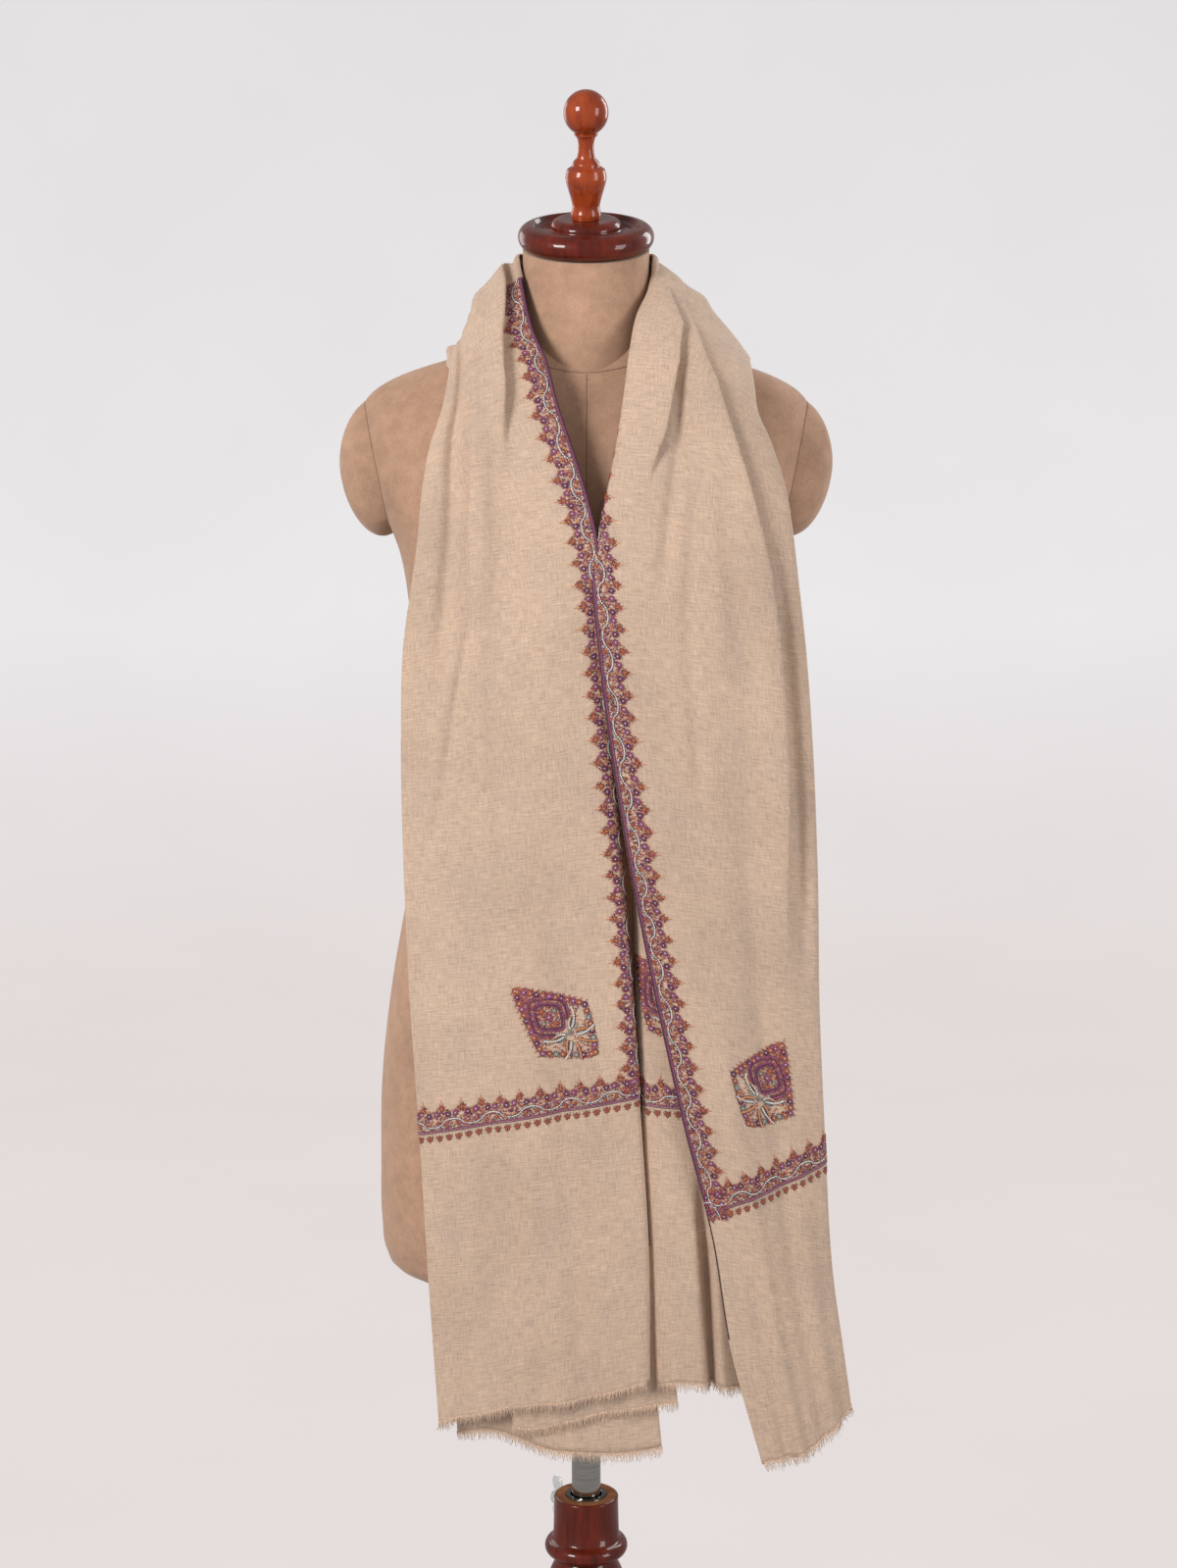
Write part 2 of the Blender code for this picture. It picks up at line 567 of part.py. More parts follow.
def front_layer(along):
    """Points of the front layer, one row for each place along it, with the outer fold's curl."""
    table = np.array([station[1:] for station in STATIONS])
    rows = smooth_rows(PLACES, table, along)
    inner = rows[:, None, 0:3]
    outer = rows[:, None, 3:6]
    crown = rows[:, None, 6]
    share = np.linspace(0, 1, ACROSS)[None, :]
    chord = inner + (outer - inner) * share[..., None]
    ahead = smooth_rows(PLACES, table, along + STEP)
    behind = smooth_rows(PLACES, table, along - STEP)
    forward = unit((ahead - behind)[:, 0:3] + (ahead - behind)[:, 3:6])
    across = unit(rows[:, 3:6] - rows[:, 0:3])
    outward = unit(np.cross(forward, across))
    lift = crown * (4 * share * (1 - share)) ** 0.8
    lift = lift + fold_height(along[:, None] + 0 * share, share + 0 * along[:, None])
    sheet = keep_clear(chord + outward[:, None, :] * lift[..., None], CLEAR_FRONT)

    edge = sheet[:, -1, :]
    reach = unit(edge - sheet[:, -2, :])
    back = unit(np.cross(reach, forward))
    back = back * np.where((back * outward).sum(axis=1) > 0, -1.0, 1.0)[:, None]
    centre = edge + back * OUTER_CURL
    curl = []
    for angle in (50, 105, 160):
        turn = math.radians(angle)
        curl.append(centre + OUTER_CURL * (reach * math.sin(turn) - back * math.cos(turn)))
    curl.append(curl[-1] - reach * CURL_RETURN)
    curl = keep_clear(np.stack(curl, axis=1), CLEAR_CURL)
    return np.concatenate([sheet, curl], axis=1)


def rear_layer(rows, pleat):
    table = np.array(rows)
    places = -table[:, 0]
    heights = np.linspace(places[0], places[-1], REAR_ALONG)
    z_left, z_right, x_left, x_right, y_left, y_mid, y_right = smooth_rows(places, table, heights).T
    share = np.linspace(0, 1, REAR_ACROSS)
    x = x_left[:, None] + (x_right - x_left)[:, None] * share
    z = z_left[:, None] + (z_right - z_left)[:, None] * share
    bow = 1 - (2 * share - 1) ** 2
    y = y_left[:, None] + (y_right - y_left)[:, None] * share
    y = y + bow * (y_mid - (y_left + y_right) / 2)[:, None]
    if pleat:
        strength = smooth_step((PLEAT_TOP - z) / (PLEAT_TOP - PLEAT_FULL))
        y = y + PLEAT_DEPTH * strength * np.exp(-((share - PLEAT_SHARE) / PLEAT_WIDTH) ** 2)
    return keep_clear(np.stack([x, y, z], axis=2), CLEAR_REAR)


def cloth_wall(name, grid, finish_name="cloth"):
    """A wall of the cloth's thickness along a grid of points."""
    rows, columns = grid.shape[:2]
    bm = bmesh.new()
    bmesh.ops.create_grid(bm, x_segments=columns - 1, y_segments=rows - 1, size=1.0)
    for vert in bm.verts:
        column = round((vert.co.x + 1) / 2 * (columns - 1))
        row = round((vert.co.y + 1) / 2 * (rows - 1))
        vert.co = grid[row, column]
    obj = finish(bm, name, finish_name, 60)
    wall = obj.modifiers.new("wall", "SOLIDIFY")
    wall.thickness = WALL
    wall.offset = 0.0
    wall.use_even_offset = True
    return obj


def fringe_strip(name, hem, before):
    """The plain reach of the fringe under a hem, in line with the cloth above it."""
    down = unit(hem - before)
    rows = [hem + down * (WALL / 2 + GAP + share * FRINGE) for share in (0.0, 0.5, 1.0)]
    cloth_wall(name, np.stack(rows), "fringe")


def make_shawl():
    seam = SEAM_GAP / 2
    stretches = (
        ("shawl_left_front", 0.0, place("left_shoulder") - seam, 27),
        ("shawl_neck", place("left_shoulder") + seam, place("right_shoulder") - seam, 15),
        ("shawl_right_front", place("right_shoulder") + seam, PLACES[-1], 28),
    )
    for name, start, end, count in stretches:
        grid = front_layer(np.linspace(start, end, count))
        cloth_wall(name, grid)
        if name == "shawl_left_front":
            fringe_strip("fringe_left_front", grid[0, :ACROSS], grid[1, :ACROSS])
        if name == "shawl_right_front":
            fringe_strip("fringe_right_front", grid[-1, :ACROSS], grid[-2, :ACROSS])
    layers = (
        # layer         rows         pleated
        ("left_rear",   LEFT_REAR,   False),
        ("left_middle", LEFT_MIDDLE, False),
        ("right_rear",  RIGHT_REAR,  True),
    )
    for layer, rows, pleated in layers:
        grid = rear_layer(rows, pleated)
        cloth_wall(f"shawl_{layer}", grid)
        fringe_strip(f"fringe_{layer}", grid[-1], grid[-2])


def main():
    clear_scene()
    make_stand()
    make_wing_screw()
    make_form()
    make_neck_cap()
    make_shawl()


main()
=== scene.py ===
"""Finishes the pashmina shawl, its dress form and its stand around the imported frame."""
import math
import random

import bmesh
import bpy
import numpy as np
from bpy.props import FloatProperty, FloatVectorProperty, IntProperty, PointerProperty
from mathutils import Matrix, Vector


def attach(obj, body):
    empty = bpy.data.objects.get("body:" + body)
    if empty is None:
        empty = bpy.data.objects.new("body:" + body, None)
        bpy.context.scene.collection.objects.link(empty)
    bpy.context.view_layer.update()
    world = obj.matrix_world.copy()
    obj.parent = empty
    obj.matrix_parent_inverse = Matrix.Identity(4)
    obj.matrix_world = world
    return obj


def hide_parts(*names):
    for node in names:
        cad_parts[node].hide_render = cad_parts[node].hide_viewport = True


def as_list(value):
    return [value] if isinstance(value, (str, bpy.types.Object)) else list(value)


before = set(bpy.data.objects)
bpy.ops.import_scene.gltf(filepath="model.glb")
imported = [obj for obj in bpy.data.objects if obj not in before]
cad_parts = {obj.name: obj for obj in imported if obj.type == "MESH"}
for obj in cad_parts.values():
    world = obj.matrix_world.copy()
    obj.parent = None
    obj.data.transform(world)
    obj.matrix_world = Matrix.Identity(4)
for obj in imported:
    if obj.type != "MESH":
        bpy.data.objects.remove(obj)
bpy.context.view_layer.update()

bl_info = {
    "name": "Pashmina shawl on a dress form",
    "version": (1, 0, 0),
    "blender": (4, 5, 0),
    "location": "View3D > Sidebar > Shawl",
    "description": "Builds an embroidered pashmina shawl on a dress form with a turned stand",
    "category": "Object",
}

# ------------------------------------------------------------------ sizes of the form

FORM_RINGS = (
    # z      half   front  back   power
    (0.626, 0.1500, 0.096, 0.108, 2.4),
    (0.632, 0.1620, 0.104, 0.117, 2.4),
    (0.645, 0.1700, 0.109, 0.124, 2.4),
    (0.670, 0.1735, 0.111, 0.128, 2.3),
    (0.720, 0.1740, 0.112, 0.131, 2.3),
    (0.790, 0.1725, 0.112, 0.129, 2.3),
    (0.860, 0.1650, 0.108, 0.118, 2.3),
    (0.940, 0.1510, 0.098, 0.102, 2.3),
    (1.030, 0.1310, 0.088, 0.088, 2.3),
    (1.100, 0.1350, 0.097, 0.090, 2.3),
    (1.150, 0.1430, 0.106, 0.095, 2.3),
    (1.190, 0.1465, 0.110, 0.100, 2.3),
    (1.230, 0.1530, 0.105, 0.105, 2.4),
    (1.244, 0.1572, 0.101, 0.106, 2.45),
    (1.262, 0.1670, 0.096, 0.107, 2.5),
    (1.300, 0.1770, 0.084, 0.105, 2.5),
    (1.335, 0.1830, 0.068, 0.096, 2.4),
    (1.356, 0.1815, 0.0570, 0.084, 2.1),
    (1.368, 0.1690, 0.0530, 0.077, 2.0),
    (1.380, 0.1440, 0.0490, 0.070, 1.9),
    (1.390, 0.1120, 0.0435, 0.063, 1.9),
    (1.402, 0.0740, 0.0380, 0.058, 2.0),
    (1.416, 0.0530, 0.0320, 0.0525, 2.0),
    (1.424, 0.0460, 0.0280, 0.046, 2.0),
)
NECK_SIZE = (0.0517, 0.0505, 0.0517, 2.0)
NECK_FOOT_HEIGHT = 1.385
NECK_FOOT_TILT = math.radians(22)
NECK_TOP_CENTRE = Vector((0.0, -0.002, 1.4785))
CAP_TILT = math.radians(19)
ARMHOLE_TOP = Vector((0.1832, 0.0, 1.3623))
ARMHOLE_BOTTOM = Vector((0.1575, 0.0, 1.2400))
ARMHOLE_FOOT = 1.215
ARM_CAP_RISE = 0.0300
ARM_CAP_SAG = 0.013
ARM_CAP_POWER = 1.95
SEAM_RADIUS = 0.0006
SEAM_SINK = 0.0003
SEAM_ASIDE = 0.0005
NECK_SEAM_FRONT = 1.3762
NECK_SEAM_RISE = 0.028
GAP = 0.0003

# ------------------------------------------------------------------ sizes of the cloth

WALL = 0.0009
CLEAR_FRONT = 0.0072
CLEAR_CURL = 0.0030
CLEAR_REAR = 0.0034
OUTER_CURL = 0.0042
INNER_CURL = 0.0046
CURL_RETURN = 0.010
STEP = 0.002
UNDER_POINTS = 14
ROLL_TURNS = 9
RETURN_POINTS = 4
FRONT_START = UNDER_POINTS + 1
FRONT_END = ROLL_TURNS + RETURN_POINTS
HEM_REACH = 0.10

STATIONS = (
    # place            inner x   y       z      outer x   y       z      crown  curl under
    ("left_hem",       0.0475, -0.130, 0.5680, -0.1177, -0.106, 0.5250, 0.006, 0.0150),
    ("left_thigh",     0.0460, -0.131, 0.6800, -0.1255, -0.106, 0.6450, 0.007, 0.0150),
    ("left_band",      0.0390, -0.133, 0.7900, -0.1320, -0.106, 0.7650, 0.007, 0.0150),
    ("left_motif",     0.0320, -0.134, 0.8983, -0.1390, -0.105, 0.8750, 0.008, 0.0140),
    ("left_waist",     0.0235, -0.134, 1.0076, -0.1435, -0.102, 0.9850, 0.009, 0.0130),
    ("left_rib",       0.0134, -0.134, 1.1155, -0.1452, -0.099, 1.0850, 0.010, 0.0110),
    ("left_bust",      0.0112, -0.132, 1.1950, -0.1425, -0.098, 1.1650, 0.011, 0.0060),
    ("left_armpit",    0.0088, -0.128, 1.2347, -0.1365, -0.100, 1.2050, 0.010, 0.0025),
    ("left_chest",     0.0028, -0.120, 1.2678, -0.1310, -0.100, 1.2415, 0.009, 0.0012),
    ("left_breast",   -0.0071, -0.108, 1.3019, -0.1275, -0.096, 1.2800, 0.008, 0.0012),
    ("left_yoke",     -0.0233, -0.089, 1.3502, -0.1215, -0.088, 1.3180, 0.008, 0.0012),
    ("left_collar",   -0.0323, -0.070, 1.3846, -0.1135, -0.076, 1.3470, 0.010, 0.0012),
    ("left_throat",   -0.0440, -0.050, 1.4120, -0.1100, -0.052, 1.3720, 0.009, 0.0012),
    ("left_neck",     -0.0530, -0.028, 1.4470, -0.1090, -0.030, 1.3880, 0.007, 0.0030),
    ("left_shoulder", -0.0560, 0.0000, 1.4690, -0.1080, 0.0000, 1.3940, 0.006, 0.0090),
    ("left_nape",     -0.0490, 0.0290, 1.4700, -0.0980, 0.0460, 1.3840, 0.007, 0.0100),
    ("left_back",     -0.0290, 0.0500, 1.4690, -0.0600, 0.0880, 1.3600, 0.009, 0.0100),
    ("back",           0.0000, 0.0580, 1.4680, 0.0040, 0.1040, 1.3450, 0.008, 0.0100),
    ("right_back",     0.0290, 0.0500, 1.4690, 0.0740, 0.0880, 1.3560, 0.008, 0.0100),
    ("right_nape",     0.0490, 0.0290, 1.4700, 0.1200, 0.0460, 1.3780, 0.007, 0.0100),
    ("right_shoulder", 0.0560, 0.0000, 1.4680, 0.1317, 0.0000, 1.3920, 0.006, 0.0120),
    ("right_neck",     0.0530, -0.024, 1.4450, 0.1325, -0.030, 1.3850, 0.006, 0.0160),
    ("right_throat",   0.0437, -0.046, 1.4230, 0.1335, -0.052, 1.3690, 0.007, 0.0220),
    ("right_collar",   0.0372, -0.068, 1.3920, 0.1350, -0.075, 1.3460, 0.008, 0.0280),
    ("right_yoke",     0.0320, -0.090, 1.3540, 0.1440, -0.088, 1.3220, 0.008, 0.0280),
    ("right_breast",   0.0262, -0.108, 1.3150, 0.1545, -0.096, 1.2880, 0.008, 0.0280),
    ("right_chest",    0.0185, -0.122, 1.2720, 0.1610, -0.100, 1.2500, 0.009, 0.0230),
    ("right_armpit",   0.0125, -0.130, 1.2375, 0.1655, -0.100, 1.2150, 0.010, 0.0110),
    ("right_bust",     0.0074, -0.136, 1.1950, 0.1715, -0.099, 1.1650, 0.010, 0.0020),
    ("right_rib",      0.0155, -0.139, 1.1155, 0.1780, -0.100, 1.0850, 0.009, 0.0012),
    ("right_waist",    0.0325, -0.140, 1.0053, 0.1825, -0.103, 0.9850, 0.008, 0.0012),
    ("right_motif",    0.0535, -0.140, 0.8950, 0.1855, -0.106, 0.8700, 0.007, 0.0012),
    ("right_band",     0.0765, -0.139, 0.7900, 0.1910, -0.107, 0.7650, 0.006, 0.0012),
    ("right_thigh",    0.1025, -0.137, 0.6850, 0.1985, -0.107, 0.6550, 0.006, 0.0012),
    ("right_knee",     0.1175, -0.136, 0.5950, 0.2085, -0.106, 0.5850, 0.006, 0.0012),
    ("right_hem",      0.1427, -0.135, 0.5020, 0.2155, -0.106, 0.5370, 0.006, 0.0012),
)
NAMES = [station[0] for station in STATIONS]

# Soft folds: a rounded ridge or trough from one station to another, at a share of the width
FOLDS = (
    # from             to              share  share  width  height
    ("left_motif",     "left_back",     0.60,  0.62,  0.060,  0.0040),
    ("left_rib",       "left_nape",     0.80,  0.84,  0.045, -0.0040),
    ("left_thigh",     "left_bust",     0.34,  0.22,  0.070, -0.0022),
    ("left_waist",     "left_armpit",   0.88,  0.60,  0.030, -0.0026),
    ("left_hem",       "left_motif",    0.30,  0.36,  0.060, -0.0032),
    ("left_hem",       "left_waist",    0.72,  0.66,  0.080, -0.0030),
    ("left_hem",       "left_band",     0.52,  0.50,  0.050,  0.0022),
    ("left_collar",    "right_collar",  0.45,  0.45,  0.090,  0.0035),
    ("left_nape",      "right_nape",    0.68,  0.70,  0.070, -0.0035),
    ("left_back",      "right_nape",    0.24,  0.20,  0.040, -0.0030),
    ("right_throat",   "right_bust",    0.38,  0.30,  0.045, -0.0040),
    ("right_collar",   "right_rib",     0.52,  0.60,  0.060,  0.0025),
    ("right_breast",   "right_waist",   0.45,  0.40,  0.040, -0.0020),
    ("right_chest",    "right_motif",   0.90,  0.93,  0.040, -0.0050),
    ("right_rib",      "right_hem",     0.62,  0.66,  0.080, -0.0030),
    ("right_motif",    "right_hem",     0.34,  0.40,  0.070,  0.0022),
)

# Overlaps: the cloth folds over itself. A positive side hangs over its outer side
TUCKS = (
    # over    height  side  then the share of the width at each station that the line passes
    (0.0050, 0.0068, 1, (("left_rib", 0.56), ("left_bust", 0.61), ("left_armpit", 0.65),
                         ("left_chest", 0.67), ("left_breast", 0.655), ("left_yoke", 0.62),
                         ("left_collar", 0.62), ("left_throat", 0.61), ("left_neck", 0.53),
                         ("left_shoulder", 0.42), ("left_back", 0.38))),
    (0.0062, 0.0085, -1, (("left_breast", 0.43), ("left_yoke", 0.40), ("left_collar", 0.39),
                          ("left_throat", 0.29), ("left_neck", 0.12), ("left_nape", 0.04))),
    (0.0040, 0.0045, 1, (("left_shoulder", 0.66), ("back", 0.58), ("right_nape", 0.52))),
    (0.0035, 0.0038, 1, (("left_nape", 0.84), ("back", 0.80), ("right_shoulder", 0.74))),
    (0.0066, 0.0095, 1, (("right_shoulder", 0.10), ("right_neck", 0.14), ("right_throat", 0.29),
                         ("right_collar", 0.31), ("right_yoke", 0.265), ("right_breast", 0.215),
                         ("right_chest", 0.17))),
    (0.0062, 0.0085, 1, (("right_nape", 0.20), ("right_shoulder", 0.24), ("right_neck", 0.30),
                         ("right_throat", 0.48), ("right_collar", 0.64), ("right_yoke", 0.675),
                         ("right_breast", 0.73), ("right_chest", 0.79), ("right_armpit", 0.83),
                         ("right_bust", 0.845), ("right_rib", 0.845), ("right_waist", 0.84),
                         ("right_motif", 0.84))),
)
TUCK_WIDTH = 0.0052

LEFT_REAR = (
    # z left  z right  left x   right x  y left   y mid    y right
    (1.2300, 1.2500, -0.1120, -0.0120, -0.087, -0.1130, -0.1120),
    (1.1400, 1.1500, -0.1210, -0.0040, -0.084, -0.1210, -0.1200),
    (1.0000, 1.0100, -0.1240,  0.0080, -0.086, -0.1220, -0.1200),
    (0.8400, 0.8500, -0.1190,  0.0240, -0.090, -0.1220, -0.1190),
    (0.6800, 0.7000, -0.1130,  0.0430, -0.091, -0.1175, -0.1150),
    (0.5080, 0.5060, -0.1060,  0.0620, -0.091, -0.1150, -0.1130),
)
LEFT_MIDDLE = (
    # z left  z right  left x   right x  y left   y mid    y right
    (0.6700, 0.6800, -0.0600,  0.0600, -0.114, -0.1235, -0.1220),
    (0.6200, 0.6300, -0.0600,  0.0660, -0.1135, -0.1225, -0.1210),
    (0.5240, 0.5460, -0.0600,  0.0745, -0.112, -0.1205, -0.1190),
)
RIGHT_REAR = (
    # z left  z right  left x   right x  y left   y mid    y right
    (1.1600, 1.1400,  0.0420,  0.1530, -0.121, -0.1230, -0.084),
    (1.0600, 1.0400,  0.0380,  0.1600, -0.124, -0.1250, -0.086),
    (0.9200, 0.9100,  0.0380,  0.1650, -0.127, -0.1270, -0.088),
    (0.7800, 0.7700,  0.0430,  0.1710, -0.128, -0.1280, -0.089),
    (0.6700, 0.6650,  0.0495,  0.1790, -0.127, -0.1270, -0.089),
    (0.5620, 0.5640,  0.0545,  0.1880, -0.126, -0.1250, -0.088),
)
PLEAT_SHARE = 0.36
PLEAT_WIDTH = 0.035
PLEAT_DEPTH = 0.017
PLEAT_TOP = 0.76
PLEAT_FULL = 0.64

# Embroidery, in metres on the flat cloth
LEFT_BAND = (0.8018, 0.7635)
RIGHT_BAND = (0.7074, 0.7475)
CENTRE_BAND = (0.7930, 0.7890)
STITCHED_EDGE_PAST_BAND = 0.095
BORDER_UNIT = 0.0172
BAND_UNIT = 0.0160
STITCH_LIFT = 0.00030
STITCH_RISE = 0.00045
STITCH_LAYER = 0.00012
STITCH_STRETCH = 1.25
YARN_SPACING = 0.0006
YARN_RADIUS = 0.00032
FRINGE_OVERLAP = 0.0016
FRINGE_OUT = 0.0006
FRINGES = (
    # stretch        first column  seed
    ("left_front", 13, 1),
    ("left_rear", 0, 2),
    ("left_middle", 0, 5),
    ("right_front", 13, 3),
    ("right_rear", 0, 4),
)
THREAD_COLOURS = {
    "plum": (0.150, 0.030, 0.095),
    "magenta": (0.300, 0.072, 0.170),
    "rust": (0.420, 0.105, 0.045),
    "orange": (0.640, 0.260, 0.110),
    "dark": (0.045, 0.016, 0.020),
    "white": (0.640, 0.660, 0.640),
    "grey": (0.250, 0.250, 0.225),
}
THREADS = tuple(THREAD_COLOURS)

# The border and the leaf motif, in millimetres on the flat cloth
EDGE_LINES = (
    # level  width  thread    step  layer
    (2.2, 0.95, "magenta", 1.7, 2),
    (3.1, 0.70, "plum", 1.5, 1),
)
HANGING_LINES = ((1.0, 0.80, "plum", 1.5, 1),)
WHIPPED_LINES = ((0.5, 1.7, "dark", 1.15, 1), (1.3, 0.9, "plum", 1.3, 2))
HANGING_LEVEL = -3.6
VINE_LEVEL = 8.0
VINE_SWING = 3.0
VINE_WIDTH = 1.30
SPIRE_LEAVES = (
    # aside  level  length  lean
    (1.3, 22.8, 3.0, 0.5),
    (2.8, 20.8, 3.0, 0.9),
    (3.5, 18.2, 2.8, 0.8),
    (5.6, 18.0, 2.6, 0.5),
    (7.4, 17.3, 2.4, 0.3),
    (1.6, 13.0, 3.4, 1.0),
)
BORDER_FILL = 150
BORDER_FILL_THREADS = ("rust", "rust", "orange", "magenta", "magenta", "plum", "plum", "dark")
SPIRE_FOOT = 15.5
SPIRE_RISE = 8.5
LEAF_LENGTH = 88.0
LEAF_TIP = -45
LEAF_HALF_WIDTH = 29.0
LEAF_WIDEST = 0.60
LEAF_FLOWERS = 19
LEAF_FILL = 1500
LEAF_FILL_THREADS = ("rust", "rust", "orange", "magenta", "plum", "plum")
DIAMOND_MIDDLE = -7.0
DIAMONDS = (
    # half length  half width  opening  thread
    (22.0, 18.6, 0.75, "magenta"),
    (19.4, 16.4, 0.62, "plum"),
    (15.6, 12.8, 0.0, "magenta"),
    (13.4, 10.8, 0.0, "plum"),
)
SPRAY_LEAVES = (
    # start    heading  length  bend   thread
    ((11, 4), 2.35, 15, -0.45, "orange"),
    ((13, 5), 1.80, 17, 0.50, "white"),
    ((17, 5), 1.15, 15, -0.40, "orange"),
    ((20, 4), 0.75, 15, 0.45, "white"),
    ((23, 2), 0.25, 15, 0.30, "orange"),
    ((13, 3), 2.85, 9, -0.60, "white"),
)
FALLS = {
    # band heights, bare stretch at the neck, seeds of border and band, motif's turn and place (x, z)
    "left": (LEFT_BAND, 0.030, 3, 5, -136, (-0.0235, 0.8647)),
    "right": (RIGHT_BAND, 0.160, 4, 6, -122, (0.1426, 0.8124)),
}
CENTRE_MOTIF_TURN = -50
CENTRE_MOTIF = (0.066, 0.880)


# ------------------------------------------------------------------ numbers


def smooth_rows(places, rows, wanted):
    """Cubic Hermite curve through the rows, read at the wanted places."""
    places = np.asarray(places, float)
    rows = np.asarray(rows, float)
    slopes = np.gradient(rows, places, axis=0)
    wanted = np.clip(np.asarray(wanted, float), places[0], places[-1])
    index = np.clip(np.searchsorted(places, wanted, side="right") - 1, 0, len(places) - 2)
    step = places[index + 1] - places[index]
    t = ((wanted - places[index]) / step)[:, None]
    step = step[:, None]
    value = (2 * t**3 - 3 * t**2 + 1) * rows[index] + (3 * t**2 - 2 * t**3) * rows[index + 1]
    value += (t**3 - 2 * t**2 + t) * step * slopes[index] + (t**3 - t**2) * step * slopes[index + 1]
    return value


def smooth_step(value):
    value = np.clip(value, 0.0, 1.0)
    return value * value * (3.0 - 2.0 * value)


def unit(vectors):
    return vectors / np.maximum(np.linalg.norm(vectors, axis=-1, keepdims=True), 1e-9)


def level_in(points, sizes):
    half, front, back, power = sizes.T
    depth = np.where(points[:, 1] < 0, front, back)
    across = (np.abs(points[:, 0]) / half) ** power
    along = (np.abs(points[:, 1]) / depth) ** power
    return (across + along) ** (1 / power)


def form_level(points):
    """Below 1 inside the form, above 1 outside it."""
    table = np.array(FORM_RINGS)
    heights = points[:, 2]
    sizes = np.stack([np.interp(heights, table[:, 0], table[:, k]) for k in range(1, 5)], axis=1)
    neck_level = level_in(points, np.tile(NECK_SIZE, (len(points), 1)))
    low = heights < NECK_FOOT_HEIGHT
    return np.minimum(level_in(points, sizes), np.where(low, 9.0, neck_level))


def keep_clear(points, clearance):
    """Moves points that are nearer to the form than the clearance straight away from it."""
    shape = points.shape
    points = points.reshape(-1, 3).copy()
    nudge = 0.002
    for _ in range(8):
        slope = np.stack(
            [(form_level(points + nudge * axis) - form_level(points - nudge * axis)) / (2 * nudge)
             for axis in np.eye(3)], axis=1)
        size = np.linalg.norm(slope, axis=1)
        push = np.clip(clearance - (form_level(points) - 1) / size, 0, 0.004)
        points += slope / size[:, None] * push[:, None]
    return points.reshape(shape)


# ------------------------------------------------------------------ shape of the cloth


def station_places():
    """Distance along the shawl's middle at each station."""
    table = np.array([station[1:] for station in STATIONS])
    middle = (table[:, 0:3] + table[:, 3:6]) / 2
    steps = np.linalg.norm(np.diff(middle, axis=0), axis=1)
    return np.concatenate([[0.0], np.cumsum(steps)])


PLACES = station_places()


def place(name):
    return PLACES[NAMES.index(name)]


def fade(along, start, end, soft=0.25):
    """How far along the line from one station to another, and a strength that fades at its ends."""
    t = (along - place(start)) / (place(end) - place(start))
    return t, smooth_step(t / soft) * smooth_step((1 - t) / soft)


def fold_height(along, across):
    height = np.zeros_like(across)
    for start, end, share_start, share_end, width, size in FOLDS:
        t, strength = fade(along, start, end)
        middle = share_start + (share_end - share_start) * t
        height += size * strength * np.exp(-((across - middle) / width) ** 2)
    return height


def tuck_moves(along, across, width):
    """Sideways shift and height where the cloth folds over itself."""
    shift = np.zeros_like(across)
    height = np.zeros_like(across)
    for over, size, side, line in TUCKS:
        t, strength = fade(along, line[0][0], line[-1][0], 0.30)
        share = np.interp(along, [place(name) for name, _ in line], [part for _, part in line])
        away = side * (across - share) * width / TUCK_WIDTH
        shift += side * strength**2 * over * 2.33 * -away * np.exp(-away**2)
        rise = 0.5 - 0.5 * np.tanh(away * 1.8)
        height += size * strength * rise * np.exp(-(np.clip(-away, 0, None) / 3.6) ** 2)
    return shift, height


def hem_wave(along, across):
    """How far the cloth swings out and drops near the two front hems."""
    left = np.exp(-along / HEM_REACH)
    right = np.exp(-(PLACES[-1] - along) / HEM_REACH)
    swing = 0.0016 * np.sin(across * 17.0 + 0.6) + 0.0012 * np.sin(across * 31.0 + 2.0)
    drop = 0.0105 * right**3 * np.sin(math.pi * np.clip(across, 0, 1)) ** 1.4
    drop = drop + 0.0025 * left**3 * np.sin(2 * math.pi * across)
    return swing * (left + right), drop


